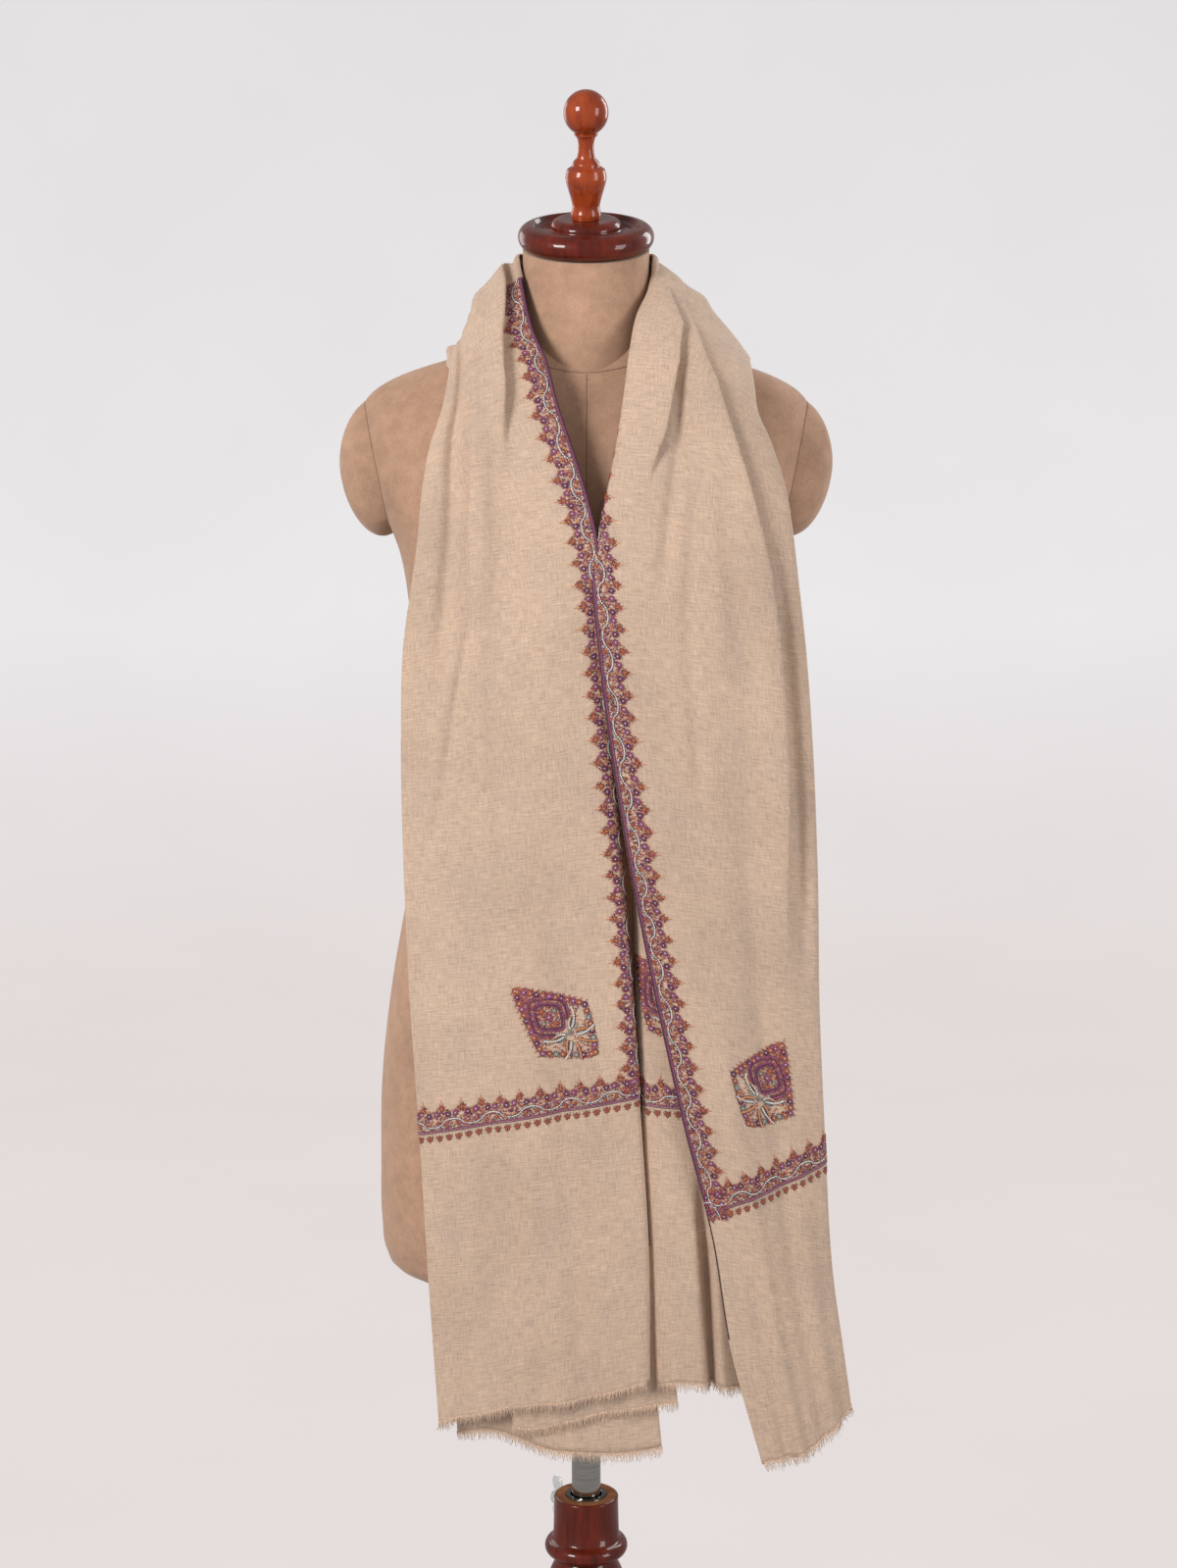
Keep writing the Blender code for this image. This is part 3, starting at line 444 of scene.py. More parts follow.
def front_layer(along, columns):
    """Points of the front layer, with its inner edge curled under and its outer fold rolled."""
    table = np.array([station[1:] for station in STATIONS])
    rows = smooth_rows(PLACES, table, along)
    inner = rows[:, None, 0:3]
    outer = rows[:, None, 3:6]
    share = np.linspace(0, 1, columns)[None, :]
    ahead = smooth_rows(PLACES, table, along + STEP)
    behind = smooth_rows(PLACES, table, along - STEP)
    forward = unit((ahead - behind)[:, 0:3] + (ahead - behind)[:, 3:6])
    width = np.linalg.norm(rows[:, 3:6] - rows[:, 0:3], axis=1)
    across = (rows[:, 3:6] - rows[:, 0:3]) / width[:, None]
    outward = unit(np.cross(forward, across))
    lift = rows[:, None, 6] * (4 * share * (1 - share)) ** 0.8
    along_grid = along[:, None] + 0 * share
    share_grid = share + 0 * along[:, None]
    shift, raised = tuck_moves(along_grid, share_grid, width[:, None])
    swing, drop = hem_wave(along_grid, share_grid)
    lift = lift + fold_height(along_grid, share_grid) + raised + swing
    chord = inner + (outer - inner) * share[..., None] + across[:, None, :] * shift[..., None]
    chord = chord - drop[..., None] * (0, 0, 1)
    sheet = keep_clear(chord + outward[:, None, :] * lift[..., None], CLEAR_FRONT)

    reach = unit(sheet[:, -1] - sheet[:, -3])
    back = facing_back(np.cross(reach, forward), outward)
    turns = np.radians(np.linspace(15, 165, ROLL_TURNS))
    roll = [sheet[:, -1] + back * OUTER_CURL + OUTER_CURL * (reach * math.sin(a) - back * math.cos(a))
            for a in turns]
    end = roll[-1]
    roll += [end - reach * CURL_RETURN * k / RETURN_POINTS for k in range(1, RETURN_POINTS + 1)]
    roll = keep_clear(np.stack(roll, axis=1), CLEAR_CURL)

    reach = unit(sheet[:, 0] - sheet[:, 2])
    back = facing_back(np.cross(reach, forward), outward)
    under = []
    for k in range(UNDER_POINTS, 0, -1):
        distance = rows[:, 7:8] * k / UNDER_POINTS
        angle = np.minimum(distance / INNER_CURL, math.pi)
        straight = np.maximum(distance - math.pi * INNER_CURL, 0)
        turn = reach * np.sin(angle) * INNER_CURL + back * (1 - np.cos(angle)) * INNER_CURL
        under.append(sheet[:, 0] + turn - reach * straight)
    under = keep_clear(np.stack(under, axis=1), CLEAR_CURL)
    return np.concatenate([under, sheet, roll], axis=1)


def facing_back(direction, outward):
    direction = unit(direction)
    return direction * np.where((direction * outward).sum(axis=1) > 0, -1.0, 1.0)[:, None]


def rear_layer(rows, along, columns, pleat=False, scallop=0.0):
    """Points of a layer that hangs behind, with its hem waved and one pleat if asked."""
    table = np.array(rows)
    places = -table[:, 0]
    heights = np.linspace(places[0], places[-1], along)
    z_left, z_right, x_left, x_right, y_left, y_mid, y_right = smooth_rows(places, table, heights).T
    share = np.linspace(0, 1, columns)
    x = x_left[:, None] + (x_right - x_left)[:, None] * share
    z = z_left[:, None] + (z_right - z_left)[:, None] * share
    low = smooth_step((heights[:, None] - places[-1]) / 0.12 + 1)
    z = z + scallop * low * (np.sin(share * 2 * math.pi + 0.35) + 0.35 * np.sin(share * 11.0))
    bow = 1 - (2 * share - 1) ** 2
    y = y_left[:, None] + (y_right - y_left)[:, None] * share
    y = y + bow * (y_mid - (y_left + y_right) / 2)[:, None]
    if pleat:
        strength = smooth_step((PLEAT_TOP - z) / (PLEAT_TOP - PLEAT_FULL))
        y = y + PLEAT_DEPTH * strength * np.exp(-((share - PLEAT_SHARE) / PLEAT_WIDTH) ** 2)
        y = y + 0.010 * np.exp(-share / 0.035)
    y = y + 0.0013 * low * np.sin(share * 19.0 + z * 6.0)
    return keep_clear(np.stack([x, y, z], axis=2), CLEAR_REAR)


class Cloth:
    """A grid of points with row 0 at the hem, and distances up from the hem and across."""

    def __init__(self, points):
        self.points = points
        up = np.gradient(points, axis=0)
        over = np.gradient(points, axis=1)
        normals = unit(np.cross(over, up))
        facing = normals[..., 1].sum() > 0
        self.normals = -normals if facing else normals
        self.across = distances(points, 1)
        self.up = distances(points, 0)

    def spots(self, up, over, lift):
        """Points of the cloth at these distances up from the hem and in from the inner edge."""
        rows = np.interp(up, self.up[:, len(self.up[0]) // 2], np.arange(len(self.up)))
        return self.at_rows(rows, over, lift)

    def at_rows(self, rows, over, lift):
        first = np.clip(rows.astype(int), 0, len(self.points) - 2)
        t = (rows - first)[:, None]
        spread = self.across[first] * (1 - t) + self.across[first + 1] * t
        column = np.clip((spread < over[:, None]).sum(axis=1) - 1, 0, spread.shape[1] - 2)
        index = np.arange(len(column))
        low = spread[index, column]
        high = spread[index, column + 1]
        s = ((over - low) / np.maximum(high - low, 1e-9))[:, None]
        result = []
        for values in (self.points, self.normals):
            near = values[first, column] * (1 - s) + values[first, column + 1] * s
            far = values[first + 1, column] * (1 - s) + values[first + 1, column + 1] * s
            result.append(near * (1 - t) + far * t)
        return result[0] + unit(result[1]) * lift[:, None]

    def row_at_height(self, column, height):
        """The row, with its fraction, where a column passes this height."""
        z = self.points[:, column, 2]
        count = int(np.argmax(z)) + 1
        return float(np.interp(height, z[:count], np.arange(count)))


def distances(points, axis):
    steps = np.linalg.norm(np.diff(points, axis=axis), axis=2)
    total = np.cumsum(steps, axis=axis)
    pad = [(0, 0), (0, 0)]
    pad[axis] = (1, 0)
    return np.pad(total, pad)


def cloth_object(name, cloth, finish):
    """A thin wall on the grid, with the cloth's flat sizes in metres as its UV map."""
    rows, columns = cloth.points.shape[:2]
    bm = bmesh.new()
    bmesh.ops.create_grid(bm, x_segments=columns - 1, y_segments=rows - 1, size=1.0)
    uv = bm.loops.layers.uv.new("flat")
    spot = {}
    for vert in bm.verts:
        column = round((vert.co.x + 1) / 2 * (columns - 1))
        row = round((vert.co.y + 1) / 2 * (rows - 1))
        spot[vert] = (cloth.across[row, column], cloth.up[row, columns // 2])
        vert.co = cloth.points[row, column]
    for face in bm.faces:
        for loop in face.loops:
            loop[uv].uv = spot[loop.vert]
    bm.faces.ensure_lookup_table()
    front = bm.faces[len(bm.faces) // 2]
    centre = front.calc_center_median()
    if front.normal.dot(Vector((centre.x, centre.y, 0.05))) < 0:
        bmesh.ops.reverse_faces(bm, faces=bm.faces[:])
    obj = piece(name, bm, [finish], 80)
    thick = obj.modifiers.new("wall", "SOLIDIFY")
    thick.thickness = WALL
    thick.offset = 0.0
    return obj


# ------------------------------------------------------------------ making pieces


def linked(name, data):
    """An object at the origin that shows the data."""
    obj = bpy.data.objects.new(name, data)
    bpy.context.scene.collection.objects.link(obj)
    return obj


def piece(name, bm, finishes, smooth_angle=45):
    """Turns a bmesh into a shaded object at the origin."""
    mesh = bpy.data.meshes.new(name)
    bm.to_mesh(mesh)
    bm.free()
    for finish in finishes:
        mesh.materials.append(finish)
    mesh.shade_smooth()
    mesh.set_sharp_from_angle(angle=math.radians(smooth_angle))
    return linked(name, mesh)


def settle(obj, body, nodes=()):
    """Lets a piece ride on its body in place of CAD nodes."""
    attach(obj, body)
    if nodes:
        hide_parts(*nodes)
    return obj


def loft(rings):
    """A closed body through rings of equally many points."""
    bm = bmesh.new()
    bmesh.ops.create_grid(bm, x_segments=len(rings[0]), y_segments=len(rings) - 1, size=1.0)
    count = len(rings[0])
    for vert in bm.verts:
        column = round((vert.co.x + 1) / 2 * count) % count
        row = round((vert.co.y + 1) / 2 * (len(rings) - 1))
        vert.co = rings[row][column]
    bmesh.ops.remove_doubles(bm, verts=bm.verts[:], dist=1e-6)
    open_edges = [edge for edge in bm.edges if edge.is_boundary]
    bmesh.ops.holes_fill(bm, edges=open_edges, sides=0)
    bmesh.ops.recalc_face_normals(bm, faces=bm.faces[:])
    return bm


def ring_points(row, count):
    """Points round a level outline: its height, half width, depths and roundness."""
    z, half, front, back, power = row
    ring = []
    for k in range(count):
        angle = 2 * math.pi * k / count
        c = math.cos(angle)
        s = math.sin(angle)
        x = half * math.copysign(abs(c) ** (2 / power), c)
        y = (back if s > 0 else front) * math.copysign(abs(s) ** (2 / power), s)
        ring.append(Vector((x, y, z)))
    return ring


def cut_away(bm, point, normal):
    """Cuts off what lies past a plane and closes the cut."""
    geometry = bm.verts[:] + bm.edges[:] + bm.faces[:]
    cut = bmesh.ops.bisect_plane(
        bm, geom=geometry, dist=1e-6, plane_co=point, plane_no=normal, clear_outer=True)
    rim = [item for item in cut["geom_cut"] if isinstance(item, bmesh.types.BMEdge)]
    bmesh.ops.edgeloop_fill(bm, edges=rim)
    bmesh.ops.recalc_face_normals(bm, faces=bm.faces[:])


def turned(profile, closed=False, steps=72):
    """Spins a profile of (radius, height) about Z. A closed one leaves a bore."""
    bm = bmesh.new()
    verts = [bm.verts.new((radius, 0, height)) for radius, height in profile]
    pairs = list(zip(verts, verts[1:]))
    if closed:
        pairs.append((verts[-1], verts[0]))
    edges = [bm.edges.new(pair) for pair in pairs]
    bmesh.ops.spin(bm, geom=verts + edges, cent=(0, 0, 0), axis=(0, 0, 1), angle=2 * math.pi,
                   steps=steps, use_merge=True)
    bmesh.ops.remove_doubles(bm, verts=bm.verts[:], dist=1e-6)
    bmesh.ops.recalc_face_normals(bm, faces=bm.faces[:])
    return bm


def arc(centre, radius, start, end, count):
    """Points of a turned profile along an arc, between two angles in degrees."""
    points = []
    for k in range(count + 1):
        angle = math.radians(start + (end - start) * k / count)
        points.append((centre[0] + radius * math.cos(angle), centre[1] + radius * math.sin(angle)))
    return points


def rounded(profile, cuts=4):
    """A smooth curve through a turned profile's points, with the first and last kept."""
    points = np.array(profile)
    places = np.concatenate([[0], np.cumsum(np.linalg.norm(np.diff(points, axis=0), axis=1))])
    wanted = np.concatenate([np.linspace(a, b, cuts, endpoint=False)
                             for a, b in zip(places, places[1:])] + [[places[-1]]])
    curve = smooth_rows(places, points, wanted)
    curve[:, 0] = np.maximum(curve[:, 0], 0)
    return [tuple(point) for point in curve]


# ------------------------------------------------------------------ materials


class Nodes:
    """Short ways to add shader nodes to one material."""

    def __init__(self, name):
        self.material = bpy.data.materials.new(name)
        self.material.use_nodes = True
        self.tree = self.material.node_tree
        self.shader = self.tree.nodes["Principled BSDF"]

    def add(self, kind, **settings):
        node = self.tree.nodes.new("ShaderNode" + kind)
        for key, value in settings.items():
            if key in node.bl_rna.properties:
                setattr(node, key, value)
            else:
                node.inputs[key.replace("_", " ")].default_value = value
        return node

    def join(self, start, end, start_socket=0, end_socket=0):
        self.tree.links.new(start.outputs[start_socket], end.inputs[end_socket])
        return end

    def coordinates(self, output, scale=(1, 1, 1)):
        source = self.add("TexCoord")
        place_node = self.add("Mapping")
        place_node.inputs["Scale"].default_value = scale
        self.join(source, place_node, output, "Vector")
        return place_node

    def noise(self, where, scale, detail=3.0, roughness=0.55):
        node = self.add("TexNoise", Scale=scale, Detail=detail, Roughness=roughness)
        self.join(where, node, 0, "Vector")
        return node

    def ramp(self, source, stops, socket=0):
        node = self.add("ValToRGB")
        elements = node.color_ramp.elements
        while len(elements) < len(stops):
            elements.new(0.5)
        for element, (position, colour) in zip(elements, stops):
            element.position = position
            element.color = (*colour, 1.0)
        self.join(source, node, socket, "Fac")
        return node

    def multiply(self, first, second, share, first_socket=0, second_socket=0):
        """Multiplies a share of the second colour into the first. The result is socket 2."""
        node = self.add("Mix", data_type="RGBA", blend_type="MULTIPLY")
        self.join(first, node, first_socket, 6)
        self.join(second, node, second_socket, 7)
        node.inputs[0].default_value = share
        return node

    def bump(self, height, strength, distance, before=None):
        node = self.add("Bump")
        node.inputs["Strength"].default_value = strength
        node.inputs["Distance"].default_value = distance
        self.join(height, node, 0, "Height")
        if before:
            self.join(before, node, 0, "Normal")
        self.join(node, self.shader, 0, "Normal")
        return node

    def set(self, **values):
        for key, value in values.items():
            self.shader.inputs[key.replace("_", " ")].default_value = value


def shade(colour, factor):
    """The colour made darker or lighter."""
    return tuple(min(1.0, channel * factor) for channel in colour)


def cloth_material(name, colour):
    """Fine plain weave with uneven threads, faint blue and pink clouds and a soft sheen."""
    n = Nodes(name)
    base = tuple(colour)
    flat = n.coordinates("UV")
    clouds = n.noise(flat, 9.0, 4.0, 0.6)
    cool = n.noise(n.coordinates("UV", (1.0, 0.45, 1.0)), 24.0, 4.0, 0.62)
    warm_colour = n.ramp(clouds, [(0.30, shade(base, 0.90)), (0.52, base), (0.72, shade(base, 1.07))])
    tinted = n.ramp(cool, [(0.42, (1, 1, 1)), (0.56, (0.955, 0.965, 0.985)), (0.68, (0.90, 0.93, 0.985))])
    body = n.multiply(warm_colour, tinted, 0.85)
    weft = n.noise(n.coordinates("UV", (95.0, 1000.0, 1.0)), 1.0, 2.0, 0.6)
    warp = n.noise(n.coordinates("UV", (1040.0, 90.0, 1.0)), 1.0, 2.0, 0.6)
    weft_tone = n.ramp(weft, [(0.32, (0.83, 0.82, 0.82)), (0.5, (1, 1, 1)), (0.68, (1.13, 1.12, 1.11))])
    warp_tone = n.ramp(warp, [(0.32, (0.84, 0.84, 0.85)), (0.5, (1, 1, 1)), (0.68, (1.11, 1.10, 1.09))])
    threads = n.multiply(weft_tone, warp_tone, 1.0)
    slub = n.noise(n.coordinates("UV", (16.0, 520.0, 1.0)), 1.0, 1.0, 0.5)
    slub_tone = n.ramp(slub, [(0.60, (1, 1, 1)), (0.74, (1.14, 1.13, 1.11))])
    threads = n.multiply(threads, slub_tone, 0.8, 2)
    body = n.multiply(body, threads, 0.95, 2, 2)
    n.join(body, n.shader, 2, "Base Color")
    first = n.bump(weft, 0.30, 0.0007)
    n.bump(warp, 0.27, 0.0007, first)
    n.set(Roughness=0.78, Sheen_Weight=0.28, Sheen_Roughness=0.45, Specular_IOR_Level=0.25)
    n.shader.inputs["Sheen Tint"].default_value = (1.0, 0.93, 0.84, 1.0)
    return n.material


def thread_material(name, colour):
    """Silky embroidery thread, a little uneven in tone."""
    n = Nodes("thread_" + name)
    noise = n.noise(n.coordinates("Object"), 900.0, 2.0)
    tone = n.ramp(noise, [(0.35, shade(colour, 0.72)), (0.65, shade(colour, 1.18))])
    n.join(tone, n.shader, 0, "Base Color")
    n.set(Roughness=0.55, Sheen_Weight=0.15, Specular_IOR_Level=0.35)
    return n.material


def suede_material(name, colour):
    """Suede with a mottled nap."""
    n = Nodes(name)
    base = tuple(colour)
    where = n.coordinates("Object")
    cloud = n.noise(where, 13.0, 5.0, 0.62)
    nap = n.noise(where, 75.0, 5.0, 0.7)
    fibre = n.noise(where, 620.0, 3.0, 0.7)
    body = n.ramp(cloud, [(0.32, shade(base, 0.86)), (0.5, base), (0.68, shade(base, 1.12))])
    patch = n.ramp(nap, [(0.36, (0.86, 0.85, 0.84)), (0.52, (1, 1, 1)), (0.68, (1.12, 1.10, 1.09))])
    grain = n.ramp(fibre, [(0.35, (0.90, 0.90, 0.90)), (0.65, (1.08, 1.08, 1.08))])
    body = n.multiply(body, patch, 0.8)
    body = n.multiply(body, grain, 0.8, 2, 0)
    n.join(body, n.shader, 2, "Base Color")
    first = n.bump(nap, 0.16, 0.0015)
    n.bump(fibre, 0.25, 0.0006, first)
    n.set(Roughness=0.92, Sheen_Weight=0.35, Sheen_Roughness=0.5, Specular_IOR_Level=0.15)
    n.shader.inputs["Sheen Tint"].default_value = (1.0, 0.86, 0.76, 1.0)
    return n.material


def lacquer_material(name, dark, light, dull):
    """Lacquered wood whose grain shows faintly through the stain."""
    n = Nodes(name)
    where = n.coordinates("Object", (9.0, 9.0, 1.4))
    grain = n.noise(where, 11.0, 6.0, 0.65)
    stain = n.noise(n.coordinates("Object"), 26.0, 3.0)
    body = n.ramp(grain, [(0.30, tuple(dark)), (0.72, tuple(light))])
    tone = n.ramp(stain, [(0.35, (0.80, 0.78, 0.78)), (0.65, (1.15, 1.1, 1.1))])
    body = n.multiply(body, tone, 0.7)
    n.join(body, n.shader, 2, "Base Color")
    n.bump(grain, 0.05, 0.0004)
    n.set(Roughness=0.38 + dull, Coat_Weight=0.60 * (1 - 2 * dull), Coat_Roughness=0.05,
          Specular_IOR_Level=0.10)
    return n.material


def metal_material(name, brightness):
    """Satin nickel with fine rings from drawing the tube."""
    n = Nodes(name)
    rings = n.noise(n.coordinates("Object", (30.0, 30.0, 900.0)), 1.0, 2.0)
    dull = shade((0.50, 0.48, 0.44), brightness)
    bright = shade((0.64, 0.61, 0.57), brightness)
    tone = n.ramp(rings, [(0.35, dull), (0.65, bright)])
    rough = n.ramp(rings, [(0.3, (0.10, 0.10, 0.10)), (0.7, (0.16, 0.16, 0.16))])
    n.join(tone, n.shader, 0, "Base Color")
    n.join(rough, n.shader, 0, "Roughness")
    n.set(Metallic=1.0)
    return n.material


def clear_material(name):
    """Clear plastic with faint moulding clouds."""
    n = Nodes(name)
    cloud = n.noise(n.coordinates("Object"), 160.0, 3.0)
    tone = n.ramp(cloud, [(0.3, (0.74, 0.77, 0.77)), (0.7, (0.88, 0.90, 0.90))])
    n.join(tone, n.shader, 0, "Base Color")
    n.bump(cloud, 0.04, 0.0005)
    n.set(Roughness=0.10, Transmission_Weight=0.55, IOR=1.46)
    return n.material


MATERIALS = {}
# Painted light: the fringe yarn is the cloth's colour made 22% lighter, so the loose ends read as lit
# against the shaded hem.
YARN_PAINTED_LIGHT = 1.22
SUEDES = {
    "suede": ("suede", 1.0),
    # Painted shade: the seams' lines are the suede darkened to 0.60, standing in for the shade in the
    # seams' creases.
    "seam": ("suede_seam_painted_shade", 0.60),
    # Partly painted light: the neck's suede is the torso's made 2% lighter, as the upright neck looks
    # lighter under the lamps.
    "neck_suede": ("suede_neck", 1.02),
}
LACQUERS = {
    # material's name, darkest grain, lightest grain, how dull it is
    "lacquer": ("lacquer", (0.055, 0.007, 0.003), (0.185, 0.020, 0.008), 0.0),
    "finial": ("finial_lacquer", (0.180, 0.022, 0.006), (0.430, 0.075, 0.018), 0.0),
    "raw_wood": ("raw_wood", (0.150, 0.052, 0.020), (0.300, 0.125, 0.055), 0.45),
}
METALS = {"nickel": 0.80, "dark_metal": 0.16}


def material(name):
    """The named finish, made once from the panel's colours."""
    if name in MATERIALS:
        return MATERIALS[name]
    look = bpy.context.scene.shawl_look
    suede = tuple(look.suede_colour)
    if name in THREAD_COLOURS:
        made = thread_material(name, THREAD_COLOURS[name])
    elif name == "cloth":
        made = cloth_material("pashmina", look.cloth_colour)
    elif name == "yarn":
        made = thread_material("yarn", shade(look.cloth_colour, YARN_PAINTED_LIGHT))
    elif name in SUEDES:
        made = suede_material(SUEDES[name][0], shade(suede, SUEDES[name][1]))
    elif name in LACQUERS:
        made = lacquer_material(*LACQUERS[name])
    elif name in METALS:
        made = metal_material(name, METALS[name])
    else:
        made = clear_material("clear_plastic")
    MATERIALS[name] = made
    return made


# ------------------------------------------------------------------ embroidery


class Stitches:
    """Collects stitches in millimetres on a flat cloth: place, heading, length, width, thread."""

    def __init__(self):
        self.rows = []

    def one(self, a, b, heading, length, width, thread, layer=0):
        self.rows.append((a, b, heading, length, width, THREADS.index(thread), layer))

    def line(self, points, width, thread, step=1.9, layer=0):
        """Short stitches end to end along a line."""
        points = np.array(points, float)
        places = np.concatenate([[0], np.cumsum(np.linalg.norm(np.diff(points, axis=0), axis=1))])
        count = max(1, round(places[-1] / step))
        ends = np.linspace(0, places[-1], count + 1)
        xs = np.interp(ends, places, points[:, 0])
        ys = np.interp(ends, places, points[:, 1])
        for k in range(count):
            dx = xs[k + 1] - xs[k]
            dy = ys[k + 1] - ys[k]
            self.one((xs[k] + xs[k + 1]) / 2, (ys[k] + ys[k + 1]) / 2, math.atan2(dy, dx),
                     math.hypot(dx, dy) * STITCH_STRETCH, width, thread, layer)

    def outlined(self, points, width, thread):
        """A line of stitches on a wider dark one."""
        self.line(points, width * 2.1, "dark", 2.0, 0)
        self.line(points, width, thread, 1.9, 2)

    def rosette(self, a, b, size, petal, heart="white", count=6, turn=0.0):
        """A flower of outlined petals. Its size is its radius."""
        for k in range(count):
            heading = turn + 2 * math.pi * k / count
            x = a + size * 0.60 * math.cos(heading)
            y = b + size * 0.60 * math.sin(heading)
            self.one(x, y, heading, size * 1.10, size * 0.90, "dark", 1)
            self.one(x, y, heading, size * 0.84, size * 0.56, petal, 3)
        self.one(a, b, 0.0, size * 0.50, size * 0.50, heart, 4)

    def turned(self, turn, flip=False):
        """The same stitches, mirrored if asked and then turned."""
        made = Stitches()
        c = math.cos(turn)
        s = math.sin(turn)
        for x, y, heading, length, width, thread, layer in self.rows:
            y = -y if flip else y
            heading = -heading if flip else heading
            made.rows.append((x * c - y * s, x * s + y * c, heading + turn, length, width, thread, layer))
        return made


def border_unit(stitches, start, unit_size, number, rng, hanging):
    """One spire of the border with its flowers, leaves and its stretch of the vine."""
    u = unit_size * 1000
    turn = rng.uniform(0, 1)
    for level, width, thread, step, layer in EDGE_LINES + (HANGING_LINES if hanging else WHIPPED_LINES):
        stitches.line([(start, level), (start + u, level)], width, thread, step, layer)
    if hanging:
        for share in (0.25, 0.75):
            a = start + u * share
            stitches.rosette(a, HANGING_LEVEL + rng.uniform(-0.3, 0.3), 2.5, "rust", "magenta", 5, turn)
            stitches.one(a, -6.4, math.pi / 2, 2.4, 0.45, "rust", 0)
            for lean in (-1, 1):
                stitches.one(a + lean * 2.4, -1.2, lean * 0.9, 2.2, 0.5, "grey", 0)
                stitches.one(a + lean * 2.9, -2.8, math.pi / 2 + lean * 0.4, 1.9, 0.45, "rust", 0)
    wave = []
    for k in range(15):
        t = k / 14
        swing = math.cos(math.pi * (number + t))
        swing = math.copysign(abs(swing) ** 0.6, swing)
        wave.append((start + u * t, VINE_LEVEL + VINE_SWING * swing))
    stitches.outlined(wave, VINE_WIDTH, "white")
    side = 1 if number % 2 else -1
    low = 6.6 if side > 0 else 5.4
    stitches.rosette(start + u * 0.30, low, 1.7, "rust", "orange", 5, turn)
    stitches.rosette(start + u * 0.74, 12.0 - low + 1.2, 1.6, "rust", "orange", 5, -turn)
    stitches.one(start + u * 0.54, 5.0, 0.5 * side, 3.0, 1.25, "dark", 1)
    stitches.one(start + u * 0.54, 5.0, 0.5 * side, 2.4, 0.9, "white", 3)
    stitches.one(start + u * 0.02, 5.0, -0.4 * side, 2.6, 0.9, "grey", 3)
    for share, level, size, petal in ((0.20, 15.2, 2.5, "plum"), (0.82, 15.4, 2.5, "magenta")):
        stitches.rosette(start + u * share, level + rng.uniform(-0.4, 0.4), size, petal, "white", 6, turn)
    top = start + u * 0.5 + rng.uniform(-0.4, 0.4)
    stitches.rosette(top, 19.6, 2.35, "rust", "orange", 5, turn)
    stitches.one(top, 24.6, math.pi / 2, 6.0, 0.8, "orange", 1)
    for lean in (-1, 1):
        for shift, level, length, angle in SPIRE_LEAVES:
            stitches.one(top + lean * shift, level, math.pi / 2 - lean * angle, length, 0.55,
                         "rust" if level > 14 else "orange", 1)
    fill = 0
    while fill < BORDER_FILL:
        a = rng.uniform(0, 1)
        b = rng.uniform(3.6, SPIRE_FOOT + SPIRE_RISE)
        if b > SPIRE_FOOT and abs(a - 0.5) * 2 > 1.0 - (b - SPIRE_FOOT) / SPIRE_RISE:
            continue
        fill += 1
        stitches.one(start + u * a, b, rng.uniform(0, math.pi), rng.uniform(1.8, 2.9), 0.85,
                     rng.choice(BORDER_FILL_THREADS), 0)


def border(length, unit_size, seed, hanging=False):
    """A row of spires that fills the length, in metres."""
    rng = random.Random(seed)
    stitches = Stitches()
    count = int(length / unit_size)
    for number in range(count):
        border_unit(stitches, number * length / count * 1000, length / count, number, rng, hanging)
    return stitches


def curved_leaf(stitches, a, b, heading, length, bend, thread):
    """A bent leaf of thick thread with a dark outline."""
    points = []
    for k in range(9):
        t = k / 8
        turn = heading + bend * t
        points.append((a + length * t * math.cos(turn), b + length * t * math.sin(turn)))
    stitches.line(points, 3.1, "dark", 2.0, 4)
    stitches.line(points, 2.0, thread, 1.7, 6)


def leaf_edge(share):
    """Half the width of the leaf motif from its tip, share 0, to its foot, share 1."""
    share = min(max(share, 0.0), 1.0)
    if share < LEAF_WIDEST:
        return LEAF_HALF_WIDTH * (share / LEAF_WIDEST) ** 0.88
    return LEAF_HALF_WIDTH * ((1 - share) / (1 - LEAF_WIDEST)) ** 0.80


def rounded_diamond(long, wide, opening):
    """A diamond with bowed sides, open by an angle at its foot."""
    ring = []
    for k in range(41):
        angle = opening + (2 * math.pi - 2 * opening) * k / 40
        c = math.cos(angle)
        s = math.sin(angle)
        reach = 1 / (abs(c) ** 1.25 + abs(s) ** 1.25) ** (1 / 1.25)
        ring.append((DIAMOND_MIDDLE + long * reach * c, wide * reach * s))
    return ring


